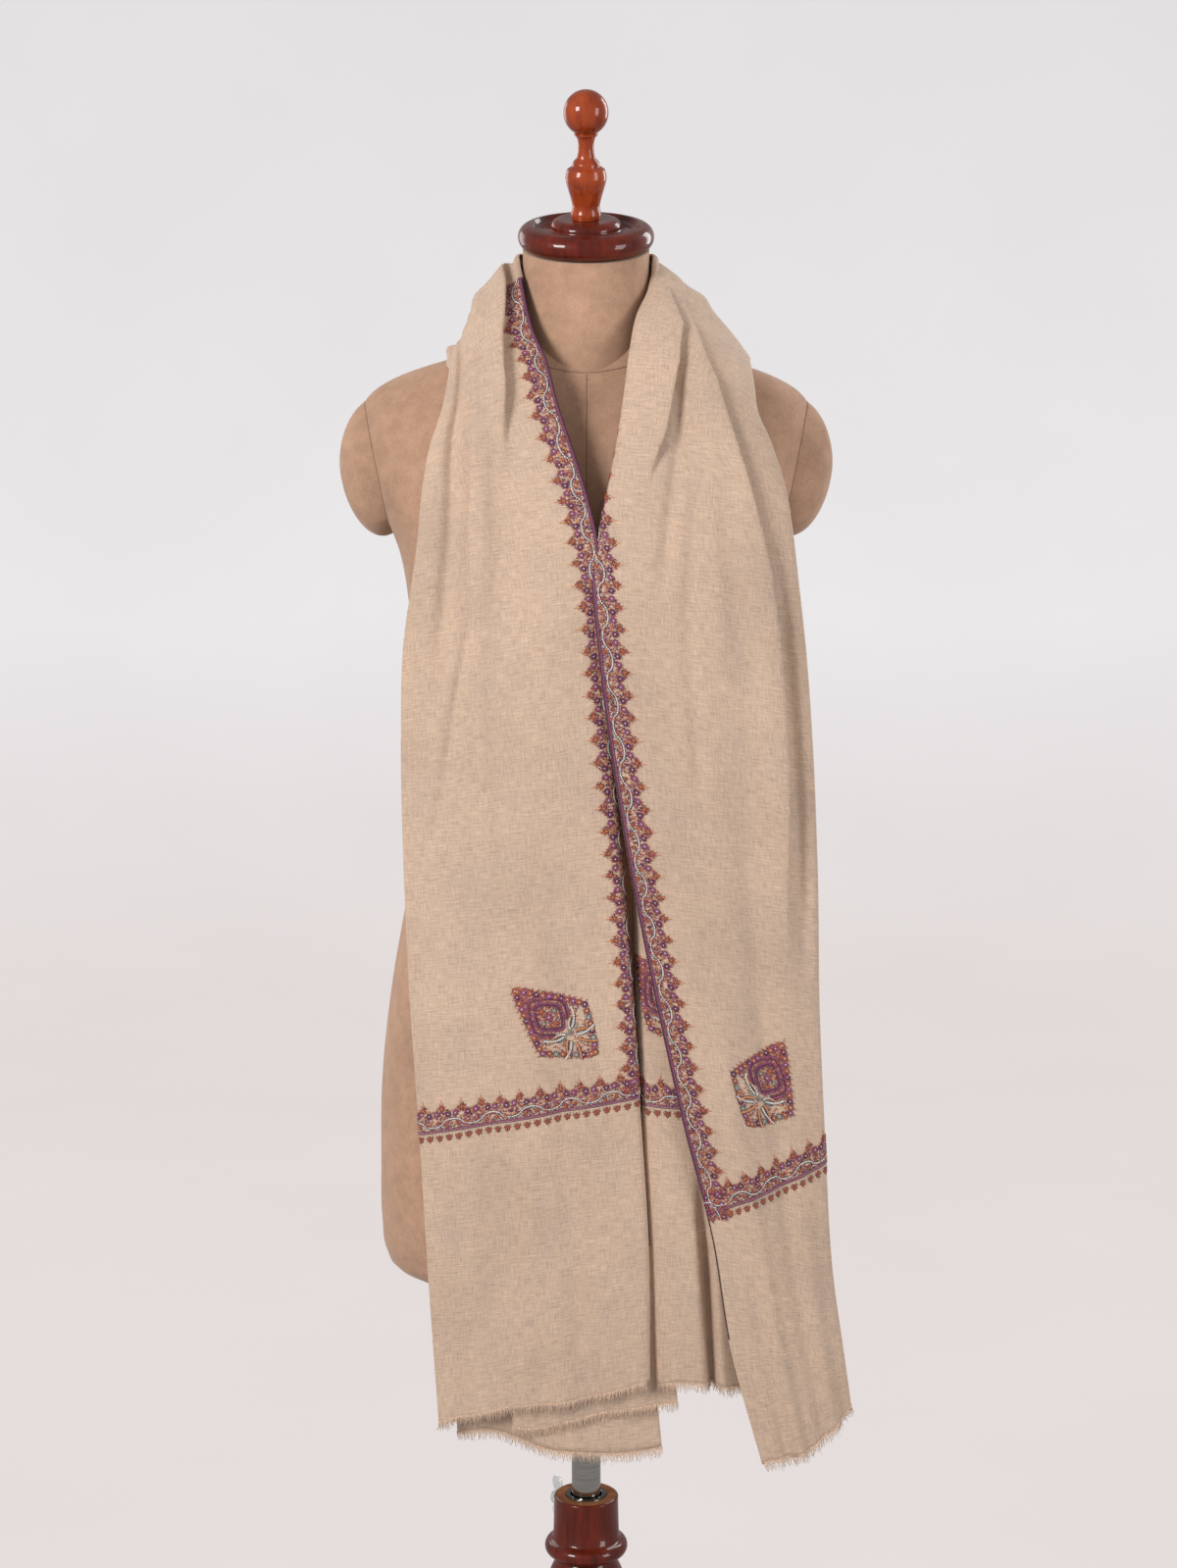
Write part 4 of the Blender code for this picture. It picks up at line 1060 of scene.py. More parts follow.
def leaf_motif():
    """A leaf of flowers, 90 mm long: nested diamonds near its tip and sprays at its foot."""
    rng = random.Random(11)
    stitches = Stitches()
    for k in range(LEAF_FLOWERS):
        share = 0.045 + 0.92 * k / (LEAF_FLOWERS - 1)
        for side in (-1, 1):
            p = LEAF_TIP + LEAF_LENGTH * (share + 0.010 * side)
            petal = ("plum", "rust", "magenta", "rust")[(k + side) % 4]
            if share > LEAF_WIDEST and k % 3 == 1:
                petal = "grey"
            stitches.rosette(p, side * (leaf_edge(share) - 2.6), 2.6, petal, "white", 6, k)
            stitches.one(p - 1.0, side * (leaf_edge(share) + 1.2), side * 1.2, 2.6, 0.55, "rust", 1)
    stitches.one(-46.8, 0, 0.0, 5.0, 0.8, "orange", 1)
    for long, wide, opening, thread in DIAMONDS:
        ring = rounded_diamond(long, wide, opening)
        stitches.line(ring, 2.0, "dark", 1.9, 1)
        stitches.line(ring, 1.3, thread, 1.8, 3)
    stitches.rosette(DIAMOND_MIDDLE, 0, 3.0, "magenta", "white", 7)
    for side in (-1, 1):
        stitches.rosette(DIAMOND_MIDDLE, side * 6.6, 2.2, "grey", "white", 6)
        stitches.rosette(DIAMOND_MIDDLE + side * 7.6, 0, 2.1, "rust", "orange", 6)
        for start, heading, reach, bend, thread in SPRAY_LEAVES:
            curved_leaf(stitches, start[0], side * start[1], side * heading, reach, side * bend, thread)
        for k in range(6):
            stitches.one(15 + rng.uniform(-2, 2), side * (5 + k), side * rng.uniform(0.8, 1.8), 3.0,
                         0.8, "grey", 2)
    for k in range(10):
        stitches.one(14 + rng.uniform(-2, 2), rng.uniform(-3, 3), rng.uniform(0, math.pi), 3.0, 0.9,
                     "grey", 2)
    fill = 0
    while fill < LEAF_FILL:
        share = rng.uniform(0.03, 0.97)
        p = LEAF_TIP + LEAF_LENGTH * share
        q = rng.uniform(-1, 1) * (leaf_edge(share) + 0.5)
        if rng.random() < 0.72 and p > 6:
            continue
        fill += 1
        stitches.one(p, q, rng.uniform(0, math.pi), rng.uniform(1.8, 3.0), 0.85,
                     rng.choice(LEAF_FILL_THREADS), 0)
    return stitches


def stitch_shape():
    """One raised stitch: a low six-sided dome, one unit long, wide and high."""
    bm = bmesh.new()
    bmesh.ops.create_circle(bm, cap_ends=True, segments=6, radius=0.5)
    poked = bmesh.ops.poke(bm, faces=bm.faces[:])
    poked["verts"][0].co.z = 1.0
    return bm


def yarn_shape():
    """One loose yarn end, one unit long, with two joints along it."""
    bm = bmesh.new()
    bmesh.ops.create_cone(bm, segments=4, radius1=1.0, radius2=0.35, depth=1.0, cap_ends=True)
    for height in (-0.17, 0.17):
        geometry = bm.verts[:] + bm.edges[:] + bm.faces[:]
        bmesh.ops.bisect_plane(bm, geom=geometry, dist=1e-6, plane_co=(0, 0, height), plane_no=(0, 0, 1))
    bmesh.ops.translate(bm, verts=bm.verts[:], vec=(0, 0, 0.5))
    return bm


def repeated(name, bm, count):
    """A mesh of many copies of one small shape, and the shape's corners. The copies follow in order."""
    shape = bpy.data.meshes.new(name + "_shape")
    bm.to_mesh(shape)
    bm.free()
    corners = np.array([vert.co[:] for vert in shape.vertices])
    holder = linked(name + "_shape", shape)
    array = holder.modifiers.new("copies", "ARRAY")
    array.count = count
    array.use_merge_vertices = False
    bpy.context.view_layer.update()
    evaluated = holder.evaluated_get(bpy.context.evaluated_depsgraph_get())
    mesh = bpy.data.meshes.new_from_object(evaluated)
    mesh.name = name
    bpy.data.objects.remove(holder)
    return mesh, corners


def embroider(name, parts):
    """Joins the stitches of several fields into one piece on the cloth.

    Each part is its stitches and a function from metres on the pattern to the cloth.
    """
    rows = [np.array(stitches.rows) for stitches, _ in parts]
    threads = np.concatenate([field[:, 5] for field in rows]).astype(np.int32)
    mesh, corners = repeated(name, stitch_shape(), len(threads))
    points = []
    for field, (_, onto) in zip(rows, parts):
        c = np.cos(field[:, 2:3])
        s = np.sin(field[:, 2:3])
        x = corners[None, :, 0] * field[:, 3:4]
        y = corners[None, :, 1] * field[:, 4:5]
        a = field[:, 0:1] + x * c - y * s
        b = field[:, 1:2] + x * s + y * c
        lift = WALL / 2 + STITCH_LIFT + STITCH_LAYER * field[:, 6:7] + STITCH_RISE * corners[None, :, 2]
        points.append(onto(a.ravel() / 1000, b.ravel() / 1000, (lift + 0 * a).ravel()))
    mesh.vertices.foreach_set("co", np.concatenate(points).ravel())
    faces = len(mesh.polygons) // len(threads)
    for thread in THREADS:
        mesh.materials.append(material(thread))
    mesh.polygons.foreach_set("material_index", np.repeat(threads, faces))
    mesh.update()
    if mesh.polygons[0].normal.y > 0:
        mesh.flip_normals()
    mesh.shade_smooth()
    return settle(linked(name, mesh), "form")


# ------------------------------------------------------------------ the shawl's pieces

CLOTHS = {}
FRONT_LAYERS = ("left_front", "neck", "right_front")
NECK_ROWS = 110
REAR_LAYERS = {
    # table, rows, columns, pleat, scallop of the hem
    "left_rear": (LEFT_REAR, 120, 70, False, 0.0065),
    "left_middle": (LEFT_MIDDLE, 50, 60, False, -0.0030),
    "right_rear": (RIGHT_REAR, 130, 100, True, 0.0030),
}


def shawl_cloth(name):
    """The named stretch, worked out once."""
    if name in CLOTHS:
        return CLOTHS[name]
    sizes = bpy.context.scene.shawl_look
    left_seam = place("left_shoulder")
    right_seam = place("right_shoulder")
    if name in FRONT_LAYERS:
        start, end, rows = {
            "left_front": (0.0, left_seam - GAP / 2, sizes.rows),
            "neck": (left_seam + GAP / 2, right_seam - GAP / 2, NECK_ROWS),
            "right_front": (right_seam + GAP / 2, PLACES[-1], sizes.rows),
        }[name]
        along = np.linspace(start, end, rows)
        points = front_layer(along[::-1] if name == "right_front" else along, sizes.columns)
    else:
        points = rear_layer(*REAR_LAYERS[name])[::-1]
    CLOTHS[name] = Cloth(points)
    return CLOTHS[name]


def band_onto(cloth, heights):
    """Maps a pattern that lies across a fall: along from the inner edge, and up the cloth."""
    first = cloth.row_at_height(FRONT_START, heights[0])
    last = cloth.row_at_height(-FRONT_END - 1, heights[1])
    width = cloth.across[int(first)][-1]
    row_size = np.median(np.diff(cloth.up[:, cloth.points.shape[1] // 2]))

    def onto(a, b, lift):
        rows = first + (last - first) * a / width + b / row_size
        return cloth.at_rows(np.clip(rows, 0, len(cloth.points) - 1.001), a, lift)

    return onto, width


def edge_onto(cloth, start):
    """Maps a pattern that runs up the inner edge: along from a place above the hem, and inwards."""

    def onto(a, b, lift):
        return cloth.spots(start + a, np.maximum(b, 0.0002), lift)

    return onto


def spot_onto(cloth, up, over):
    """Maps a motif round one place on the cloth. Its first axis goes away from the inner edge."""

    def onto(a, b, lift):
        return cloth.spots(up + b, over + a, lift)

    return onto


def make_embroidery(side):
    """Border, end band and leaf motif of one fall."""
    heights, bare, border_seed, band_seed, turn, motif_spot = FALLS[side]
    cloth = shawl_cloth(side + "_front")
    middle = cloth.points.shape[1] // 2
    band_map, width = band_onto(cloth, heights)
    row = cloth.row_at_height(FRONT_START, heights[0])
    corner = float(np.interp(row, np.arange(len(cloth.up)), cloth.up[:, middle]))
    edge = border(cloth.up[-1, middle] - bare - corner, BORDER_UNIT, border_seed)
    band = border(width, BAND_UNIT, band_seed, hanging=True)
    stitched = Stitches()
    stitched.line([(0, 0.4), (STITCHED_EDGE_PAST_BAND * 1000, 0.4)], 1.6, "dark", 1.3, 2)
    motif = leaf_motif().turned(math.radians(turn), True)
    centre = nearest(cloth, motif_spot, FRONT_START, FRONT_END)
    parts = [(edge, edge_onto(cloth, corner)), (band, band_map),
             (stitched, edge_onto(cloth, corner - STITCHED_EDGE_PAST_BAND)),
             (motif, spot_onto(cloth, *centre))]
    return embroider(f"embroidery_{side}", parts)


def nearest(cloth, spot, skip_start=0, skip_end=0):
    """Distances up and across of the cloth's point nearest to x and z, seen from the front."""
    last = cloth.points.shape[1] - skip_end
    front = cloth.points[:, skip_start:last]
    away = (front[..., 0] - spot[0]) ** 2 + (front[..., 2] - spot[1]) ** 2
    row, column = np.unravel_index(np.argmin(away), away.shape)
    return cloth.up[row, cloth.points.shape[1] // 2], cloth.across[row, column + skip_start]


def make_rear_embroidery():
    """The part of the right rear layer that shows between the falls."""
    cloth = shawl_cloth("right_rear")
    band_map, width = band_onto(cloth, CENTRE_BAND)
    band = border(width, BAND_UNIT, 8, hanging=True)
    motif = leaf_motif().turned(math.radians(CENTRE_MOTIF_TURN))
    centre = nearest(cloth, CENTRE_MOTIF)
    return embroider("embroidery_centre", [(band, band_map), (motif, spot_onto(cloth, *centre))])


def make_fringe(name, first, seed):
    """Eyelash fringe: short loose yarn ends along a hem, from one of its columns on."""
    cloth = shawl_cloth(name)
    rng = np.random.default_rng(seed)
    size = bpy.context.scene.shawl_look.fringe_length
    hem = cloth.points[0, first:]
    down = unit(hem - cloth.points[2, first:])
    places = distances(hem[None], 1)[0]
    count = int(places[-1] / YARN_SPACING)
    at = np.linspace(0, places[-1], count) + rng.uniform(-0.3, 0.3, count) * YARN_SPACING
    start = np.stack([np.interp(at, places, hem[:, axis]) for axis in range(3)], axis=1)
    heading = np.stack([np.interp(at, places, down[:, axis]) for axis in range(3)], axis=1)
    reach = size * rng.uniform(0.55, 1.0, count)[:, None, None]
    lean = rng.uniform(-1, 1, (count, 3)) * (0.30, 0.22, 0.05)
    mesh, corners = repeated("fringe_yarn_" + name, yarn_shape(), count)
    share = corners[None, :, 2:3]
    side = corners[None, :, :] * (YARN_RADIUS, YARN_RADIUS, 0)
    path = (heading[:, None, :] + lean[:, None, :] * share**2) * reach * share
    outward = unit(start * (1.0, 1.0, 0.0)) * FRINGE_OUT
    points = (start + outward - FRINGE_OVERLAP * heading)[:, None, :] + side + path
    mesh.vertices.foreach_set("co", points.ravel())
    mesh.flip_normals()
    mesh.materials.append(material("yarn"))
    mesh.shade_smooth()
    return settle(linked("fringe_yarn_" + name, mesh), "form", ["fringe_" + name])


# ------------------------------------------------------------------ operators


class ShawlLook(bpy.types.PropertyGroup):
    """Sizes and colours of the shawl and its stand."""

    rows: IntProperty(name="Rows", description="Rows of cloth faces in each fall", default=300, min=60)
    columns: IntProperty(name="Columns", description="Faces across the front layer", default=112, min=30)
    fringe_length: FloatProperty(
        name="Fringe", description="Longest fringe end", default=0.0100, unit="LENGTH")
    cloth_colour: FloatVectorProperty(
        name="Cloth", description="Colour of the pashmina", default=(0.610, 0.445, 0.332),
        subtype="COLOR", size=3)
    suede_colour: FloatVectorProperty(
        name="Suede", description="Colour of the form's suede", default=(0.470, 0.287, 0.194),
        subtype="COLOR", size=3)


class StageLook(bpy.types.PropertyGroup):
    """Camera, floor and lights."""

    lens: FloatProperty(name="Lens", description="Focal length", default=56.0, subtype="DISTANCE_CAMERA")
    distance: FloatProperty(
        name="Distance", description="From the camera to the pole", default=2.03, unit="LENGTH")
    height: FloatProperty(
        name="Height", description="Height of the camera", default=1.27, unit="LENGTH")
    pitch: FloatProperty(
        name="Pitch", description="How far the camera looks down", default=math.radians(6.5),
        subtype="ANGLE")
    paper_colour: FloatVectorProperty(
        name="Paper", description="Colour of the floor and backdrop", default=(0.80, 0.775, 0.770),
        subtype="COLOR", size=3)
    paper_glow: FloatProperty(
        name="Paper glow", description="Own brightness of the backdrop", default=0.97, min=0.0)
    sky: FloatProperty(
        name="Room light", description="Brightness of the light from all sides", default=0.38, min=0.0)


class SHAWL_OT_cloth(bpy.types.Operator):
    """Builds the stretches of the shawl"""

    bl_idname = "shawl.cloth"
    bl_label = "Cloth"

    def execute(self, context):
        for name in ("left_front", "left_middle", "left_rear", "neck", "right_front", "right_rear"):
            obj = cloth_object("cloth_" + name, shawl_cloth(name), material("cloth"))
            settle(obj, "form", ["shawl_" + name])
        return {"FINISHED"}


class SHAWL_OT_fringe(bpy.types.Operator):
    """Builds the eyelash fringe on the hems"""

    bl_idname = "shawl.fringe"
    bl_label = "Fringe"

    def execute(self, context):
        for name, first, seed in FRINGES:
            make_fringe(name, first, seed)
        return {"FINISHED"}


class SHAWL_OT_embroidery(bpy.types.Operator):
    bl_idname = "shawl.embroidery"
    bl_label = "Embroidery"

    def execute(self, context):
        left = make_embroidery("left")
        right = make_embroidery("right")
        centre = make_rear_embroidery()
        cuts = (
            # stretch         cut              pieces on it
            ("left_front",   (0.185, 1.010), [left]),
            ("right_front",  (0.185, 1.000), [right]),
            ("neck",         (0.135, 0.330), []),
            ("left_rear",    (0.150, 0.720), []),
            ("left_middle",  (0.130, 0.140), []),
            ("right_rear",   (0.165, 0.590), [centre]),
        )
        for name, flat, extra in cuts:
            fringe = bpy.data.objects.get("fringe_yarn_" + name)
            extra = extra + ([fringe] if fringe else [])
            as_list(extra)
        return {"FINISHED"}


class SHAWL_OT_form(bpy.types.Operator):
    """Builds the suede-covered form with its arm caps"""

    bl_idname = "shawl.form"
    bl_label = "Dress form"

    def execute(self, context):
        table = np.array(FORM_RINGS)
        heights = np.concatenate([np.linspace(0.626, 0.70, 14), np.linspace(0.712, 1.30, 46),
                                  np.linspace(1.306, 1.424, 34)])
        rows = smooth_rows(table[:, 0], table[:, 1:], heights)
        rings = [ring_points((z, *row), 128) for z, row in zip(heights, rows)]
        bm = loft(rings)
        rims = {side: cut_arm(bm, side) for side in (-1, 1)}
        torso = piece("form_torso_cover", bm, [material("suede")], 50)
        settle(torso, "form", ["form_torso"])
        make_arm_cap(rims[-1], -1, "left")
        make_arm_cap(rims[1], 1, "right")
        bm = loft([ring_points((z, *NECK_SIZE), 96)
                   for z in np.linspace(NECK_FOOT_HEIGHT - 0.05, NECK_FOOT_HEIGHT + 0.20, 25)])
        foot_up = Matrix.Rotation(NECK_FOOT_TILT, 3, "X") @ Vector((0, 0, 1))
        top_up = Matrix.Rotation(CAP_TILT, 3, "X") @ Vector((0, 0, 1))
        cut_away(bm, Vector((0, 0, NECK_FOOT_HEIGHT)), -foot_up)
        cut_away(bm, NECK_TOP_CENTRE, top_up)
        neck = piece("form_neck_cover", bm, [material("neck_suede")], 50)
        settle(neck, "form", ["form_neck"])
        make_seams()
        return {"FINISHED"}


def armhole(side):
    """A point on the cut for the arm cap, and the direction out of the form."""
    down = (ARMHOLE_BOTTOM - ARMHOLE_TOP).normalized()
    outward = Vector((-down.z * side, 0.0, down.x))
    middle = (ARMHOLE_TOP + ARMHOLE_BOTTOM) / 2
    middle.x *= side
    return middle, outward


def cut_arm(bm, side):
    """Cuts the shoulder flat where the arm cap is sewn on, and returns the rim's points."""
    middle, outward = armhole(side)
    faces = [face for face in bm.faces
             if face.calc_center_median().z > ARMHOLE_FOOT and face.calc_center_median().x * side > 0]
    edges = list({edge for face in faces for edge in face.edges})
    verts = list({vert for face in faces for vert in face.verts})
    cut = bmesh.ops.bisect_plane(bm, geom=verts + edges + faces, dist=1e-6, plane_co=middle,
                                 plane_no=outward, clear_outer=True)
    rim = [item for item in cut["geom_cut"] if isinstance(item, bmesh.types.BMEdge)]
    bmesh.ops.edgeloop_fill(bm, edges=rim)
    loop = [rim[0].verts[0], rim[0].verts[1]]
    left = set(rim[1:])
    while left:
        following = next((edge for edge in loop[-1].link_edges if edge in left), None)
        if following is None:
            raise RuntimeError("The cut for the arm cap isn't one closed line")
        left.remove(following)
        loop.append(following.other_vert(loop[-1]))
    if loop[0] == loop[-1]:
        loop.pop()
    return [vert.co.copy() for vert in loop]


def make_arm_cap(rim, side, name):
    """A dome on the cut shoulder, its edge on the rim."""
    outward = armhole(side)[1]
    centre = sum(rim, Vector()) / len(rim)
    rings = []
    for k in range(19):
        angle = math.pi / 2 * k / 18
        share = math.sin(angle) * 0.998
        size = (1 - share**ARM_CAP_POWER) ** (1 / ARM_CAP_POWER)
        offset = outward * (GAP + ARM_CAP_RISE * share) - Vector((0, 0, ARM_CAP_SAG * share))
        rings.append([centre + (point - centre) * size + offset for point in rim])
    obj = piece(f"arm_cap_{name}_cover", loft(rings), [material("suede")], 60)
    settle(obj, "form", [f"arm_cap_{name}"])
    seam = [point + outward * GAP / 2 for point in rim]
    seam_line(f"arm_cap_{name}_seam", seam, SEAM_RADIUS * 0.7, True)


def seam_line(name, points, radius, closed=False):
    """A thin line of stitching along the points, in the suede darkened as painted shade."""
    curve = bpy.data.curves.new(name, "CURVE")
    curve.dimensions = "3D"
    curve.bevel_depth = radius
    curve.bevel_resolution = 1
    curve.use_fill_caps = not closed
    spline = curve.splines.new("POLY")
    spline.points.add(len(points) - 1)
    for spot, point in zip(spline.points, points):
        spot.co = (*point, 1.0)
    spline.use_cyclic_u = closed
    curve.materials.append(material("seam"))
    return settle(linked(name, curve), "form")


def reach_of(row, angle):
    """Distance from the middle of a level outline to its edge in one direction."""
    half, front, back, power = row
    depth = back if math.sin(angle) > 0 else front
    level = abs(math.cos(angle) / half) ** power + abs(math.sin(angle) / depth) ** power
    return float(level ** (-1 / power))


def make_seams():
    """The stitched seams down the middle of the front and back and round the foot of the neck."""
    heights = np.linspace(0.640, 1.3745, 150)
    table = np.array(FORM_RINGS)
    rows = smooth_rows(table[:, 0], table[:, 1:], heights)
    front = [(SEAM_ASIDE, -row[1] + SEAM_SINK, z) for z, row in zip(heights, rows)]
    back = [(0.0, row[2] - SEAM_SINK, z) for z, row in zip(heights, rows)]
    seam_line("form_front_seam", front, SEAM_RADIUS)
    seam_line("form_back_seam", back, SEAM_RADIUS)
    around = []
    for angle in np.linspace(0, 2 * math.pi, 120, endpoint=False):
        z = NECK_SEAM_FRONT + NECK_SEAM_RISE * (1 + math.sin(angle))
        torso = smooth_rows(table[:, 0], table[:, 1:], np.array([z]))[0]
        reach = max(reach_of(torso, angle), reach_of(np.array(NECK_SIZE), angle)) - SEAM_SINK
        around.append((reach * math.cos(angle), reach * math.sin(angle), z))
    seam_line("form_neck_seam", around, SEAM_RADIUS, True)


class SHAWL_OT_turnery(bpy.types.Operator):
    """Builds the lacquered plate and finial on the neck"""

    bl_idname = "shawl.turnery"
    bl_label = "Neck plate and finial"

    def execute(self, context):
        turn = Matrix.Translation(NECK_TOP_CENTRE) @ Matrix.Rotation(CAP_TILT, 4, "X")
        profile = [(0, 0.0003), (0.0455, 0.0003)]
        profile += arc((0.0455, 0.0103), 0.0100, -80, 95, 20)
        profile += rounded([(0.0446, 0.0203), (0.0412, 0.0165), (0.0350, 0.0158), (0.0292, 0.0172),
                            (0.0284, 0.0205), (0.0262, 0.0235), (0.0160, 0.0246)])
        profile += [(0, 0.0246)]
        bm = turned(profile, steps=96)
        bmesh.ops.transform(bm, matrix=turn, verts=bm.verts[:])
        plate = piece("neck_plate", bm, [material("lacquer")], 70)
        settle(plate, "form", ["neck_cap"])
        ball = 0.0249 + 0.0842
        profile = [(0, 0.0249)]
        profile += rounded([(0.0118, 0.0249), (0.0124, 0.0290), (0.0112, 0.0330), (0.0126, 0.0420),
                            (0.0152, 0.0510), (0.0167, 0.0585), (0.0152, 0.0645)])
        profile += rounded([(0.0112, 0.0670), (0.0108, 0.0695), (0.0078, 0.0735), (0.0065, 0.0790),
                            (0.0066, 0.0860), (0.0075, 0.0900)])
        profile += rounded([(0.0088, 0.0910), (0.0096, 0.0920), (0.0086, 0.0932)])
        profile += arc((0, ball), 0.018, -60, 88, 24)
        profile.append((0, ball + 0.018))
        bm = turned(profile, steps=64)
        bmesh.ops.transform(bm, matrix=turn, verts=bm.verts[:])
        finial = piece("finial_knob", bm, [material("finial")], 40)
        settle(finial, "form", ["finial"])
        return {"FINISHED"}


class SHAWL_OT_stand(bpy.types.Operator):
    """Builds the turned column, the foot, the pole and its ring"""

    bl_idname = "shawl.stand"
    bl_label = "Stand"

    def execute(self, context):
        top = 0.420
        foot = [(0, 0), (0.186, 0)] + arc((0.184, 0.006), 0.006, -80, 0, 5)
        foot += arc((0.182, 0.018), 0.008, 0, 80, 8)
        foot += rounded([(0.160, 0.0275), (0.120, 0.034), (0.070, 0.042), (0.050, 0.0475)])
        foot += [(0.046, 0.049), (0.044, 0.052), (0, 0.052)]
        obj = piece("foot", turned(foot, steps=128), [material("lacquer")], 50)
        settle(obj, "stand", ["stand_foot"])

        outer = [(0.0385, 0.0523), (0.0385, 0.060)]
        outer += rounded([(0.0370, 0.0625), (0.0330, 0.070), (0.0250, 0.085), (0.0215, 0.110),
                          (0.0225, 0.150), (0.0270, 0.200), (0.0330, 0.250), (0.0368, 0.290),
                          (0.0372, 0.315), (0.0350, 0.340), (0.0300, 0.3545), (0.0245, 0.3645)])
        outer += [(0.0253, 0.3665)] + arc((0.0285, 0.3745), 0.0073, -75, 75, 14)
        outer += [(0.0284, 0.3838), (0.0280, 0.400), (0.0276, 0.4170)]
        outer += arc((0.0264, 0.4182), 0.0014, 0, 85, 5)
        face_start = len(outer)
        bore = [(0.0262, top), (0.0181, top), (0.0181, 0.4097), (0.0136, 0.4097), (0.0136, 0.075)]
        bm = turned(outer + bore + [(0, 0.075), (0, 0.0523)], closed=True, steps=96)
        for face in bm.faces:
            centre = face.calc_center_median()
            if centre.z > top - 0.0003 and face.normal.z > 0.9:
                face.material_index = 1
        obj = piece("column", bm, [material("lacquer"), material("raw_wood")], 45)
        settle(obj, "stand", ["stand_column"])

        ring = [(0.0136, 0.410), (0.0178, 0.410), (0.0178, 0.4204), (0.0174, 0.4209)]
        ring += [(0.0142, 0.4210), (0.0137, 0.4206)]
        obj = piece("bore_ring", turned(ring, closed=True, steps=72), [material("dark_metal")], 40)
        settle(obj, "stand", ["pole_ring"])

        tube = [(0, 0.135), (0.0115, 0.135), (0.0125, 0.136), (0.0125, 0.6257), (0, 0.6257)]
        obj = piece("pole_tube", turned(tube, steps=72), [material("nickel")], 40)
        settle(obj, "pole", ["pole"])
        return {"FINISHED"}


class SHAWL_OT_screw(bpy.types.Operator):
    """Builds the clear winged screw that clamps the pole"""

    bl_idname = "shawl.screw"
    bl_label = "Clamping screw"

    def execute(self, context):
        turn = (Matrix.Translation((0, 0, 0.404)) @ Matrix.Rotation(math.radians(128), 4, "Z")
                @ Matrix.Rotation(math.pi / 2, 4, "Y"))
        head = 0.034
        profile = [(0, 0.0131), (0.003, 0.0131)]
        for k in range(14):
            z = 0.0145 + k * 0.00135
            profile += [(0.0030, z), (0.0025, z + 0.00068)]
        profile += [(0.0030, head), (0.0062, head), (0.0070, head + 0.002), (0.0066, head + 0.008),
                    (0.0050, head + 0.0105), (0, head + 0.011)]
        bm = turned(profile, steps=40)
        for side in (-1, 1):
            wing = bmesh.ops.create_uvsphere(bm, u_segments=32, v_segments=20, radius=1.0)["verts"]
            for vert in wing:
                reach = vert.co.x
                swell = 0.62 + 0.38 * math.sin((reach * 0.5 + 0.5) * math.pi / 2)
                vert.co = (side * (0.0115 + 0.0078 * reach), 0.0019 * vert.co.y,
                           head + 0.0068 + 0.0078 * vert.co.z * swell)
        bmesh.ops.transform(bm, matrix=turn, verts=bm.verts[:])
        obj = piece("winged_screw", bm, [material("clear")], 40)
        settle(obj, "screw", ["wing_screw"])
        return {"FINISHED"}


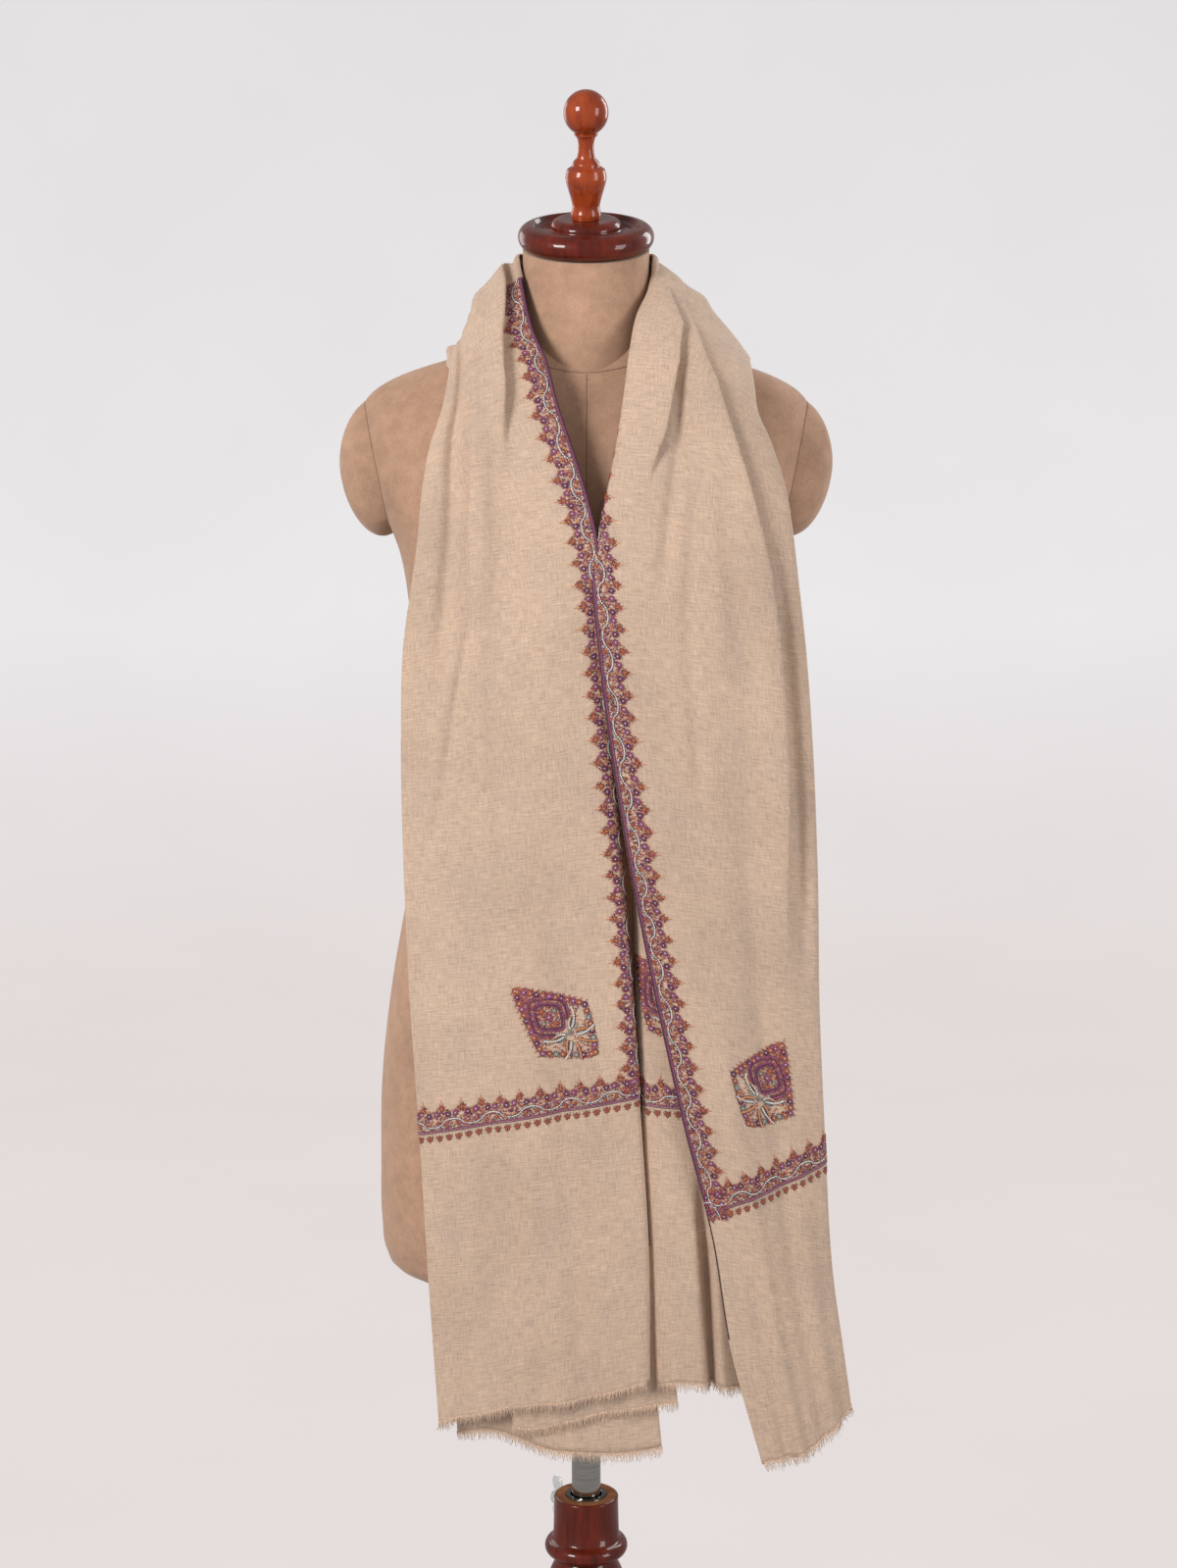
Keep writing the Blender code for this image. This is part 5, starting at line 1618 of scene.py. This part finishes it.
class SHAWL_OT_stage(bpy.types.Operator):
    """Sets the floor, the lights and the camera"""

    bl_idname = "shawl.stage"
    bl_label = "Stage"

    def execute(self, context):
        scene = context.scene
        look = scene.stage_look
        paper = Nodes("paper")
        split = paper.add("SeparateXYZ")
        paper.join(paper.coordinates("Object", (0.33, 0.33, 0.33)), split)
        # Painted light: the backdrop glows instead of being lit, darker towards the floor, brightest about
        # 0.9 m up and a little dimmer above.
        rise = paper.ramp(split, [(0.0, (0.945, 0.905, 0.90)), (0.30, (1.03, 1.035, 1.06)),
                                  (0.95, (0.965, 0.965, 0.985))], 2)
        cloud = paper.ramp(paper.noise(paper.coordinates("Object"), 1.5),
                           [(0.3, shade(look.paper_colour, 0.985)), (0.7, shade(look.paper_colour, 1.01))])
        tone = paper.multiply(cloud, rise, 1.0)
        paper.shader.inputs["Base Color"].default_value = (0.05, 0.05, 0.05, 1.0)
        paper.set(Roughness=0.9, Specular_IOR_Level=0.1)
        paper.shader.inputs["Emission Strength"].default_value = look.paper_glow
        paper.join(tone, paper.shader, 2, "Emission Color")
        profile = [(0, 0), (4.0, 0)] + arc((4.0, 2.0), 2.0, -84, -6, 14) + [(6.0, 2.0), (6.0, 7.0)]
        floor = piece("floor", turned(profile, steps=64), [paper.material], 60)
        floor.visible_diffuse = False
        floor.visible_glossy = False
        floor.visible_shadow = False

        world = scene.world or bpy.data.worlds.new("studio")
        scene.world = world
        world.use_nodes = True
        background = world.node_tree.nodes["Background"]
        background.inputs["Color"].default_value = (1.0, 0.965, 0.955, 1.0)
        background.inputs["Strength"].default_value = look.sky

        lamps = (
            # name     place              aim               size        power  colour
            ("key",   (-1.9, -2.0, 2.1), (0.0, 0.0, 0.98), (0.9, 0.9), 64.0, (1.0, 0.975, 0.95)),
            ("fill",  (2.4, -1.5, 1.5),  (0.0, 0.0, 1.0),  (0.9, 1.6), 31.0, (0.98, 0.975, 0.97)),
            ("rim",   (1.3, 1.1, 2.0),   (0.0, 0.0, 1.1),  (0.5, 1.4), 14.0, (1.0, 1.0, 1.0)),
            ("back",  (-1.6, 1.8, 1.9),  (0.0, 0.0, 1.0),  (1.0, 1.4), 10.0, (1.0, 0.99, 0.98)),
        )
        for name, spot, aim, size, power, colour in lamps:
            data = bpy.data.lights.new(name, "AREA")
            data.shape = "RECTANGLE"
            data.size = size[0]
            data.size_y = size[1]
            data.energy = power
            data.color = colour
            lamp = linked(name, data)
            lamp.location = spot
            lamp.rotation_euler = (Vector(aim) - Vector(spot)).to_track_quat("-Z", "Y").to_euler()

        data = bpy.data.cameras.new("camera")
        data.sensor_width = 36.0
        data.lens = look.lens
        camera = linked("camera", data)
        camera.location = (0.002, -look.distance, look.height)
        camera.rotation_euler = (math.pi / 2 - look.pitch, 0, 0)
        scene.camera = camera
        scene.view_settings.view_transform = "Standard"
        return {"FINISHED"}


class SHAWL_PT_panel(bpy.types.Panel):
    """Lists the pieces and their sizes"""

    bl_idname = "SHAWL_PT_panel"
    bl_label = "Shawl"
    bl_space_type = "VIEW_3D"
    bl_region_type = "UI"
    bl_category = "Shawl"

    def draw(self, context):
        for settings in (context.scene.shawl_look, context.scene.stage_look):
            for name in settings.__annotations__:
                self.layout.prop(settings, name)
        for operator in OPERATORS:
            self.layout.operator(operator.bl_idname)


OPERATORS = (SHAWL_OT_form, SHAWL_OT_turnery, SHAWL_OT_stand, SHAWL_OT_screw, SHAWL_OT_cloth,
             SHAWL_OT_fringe, SHAWL_OT_embroidery, SHAWL_OT_stage)
CLASSES = (ShawlLook, StageLook, *OPERATORS, SHAWL_PT_panel)


def register():
    for item in CLASSES:
        bpy.utils.register_class(item)
    bpy.types.Scene.shawl_look = PointerProperty(type=ShawlLook)
    bpy.types.Scene.stage_look = PointerProperty(type=StageLook)


def unregister():
    del bpy.types.Scene.stage_look
    del bpy.types.Scene.shawl_look
    for item in reversed(CLASSES):
        bpy.utils.unregister_class(item)


def main():
    register()
    bpy.ops.shawl.form()
    bpy.ops.shawl.turnery()
    bpy.ops.shawl.stand()
    bpy.ops.shawl.screw()
    bpy.ops.shawl.cloth()
    bpy.ops.shawl.fringe()
    bpy.ops.shawl.embroidery()
    bpy.ops.shawl.stage()


if __name__ == "__main__":
    main()
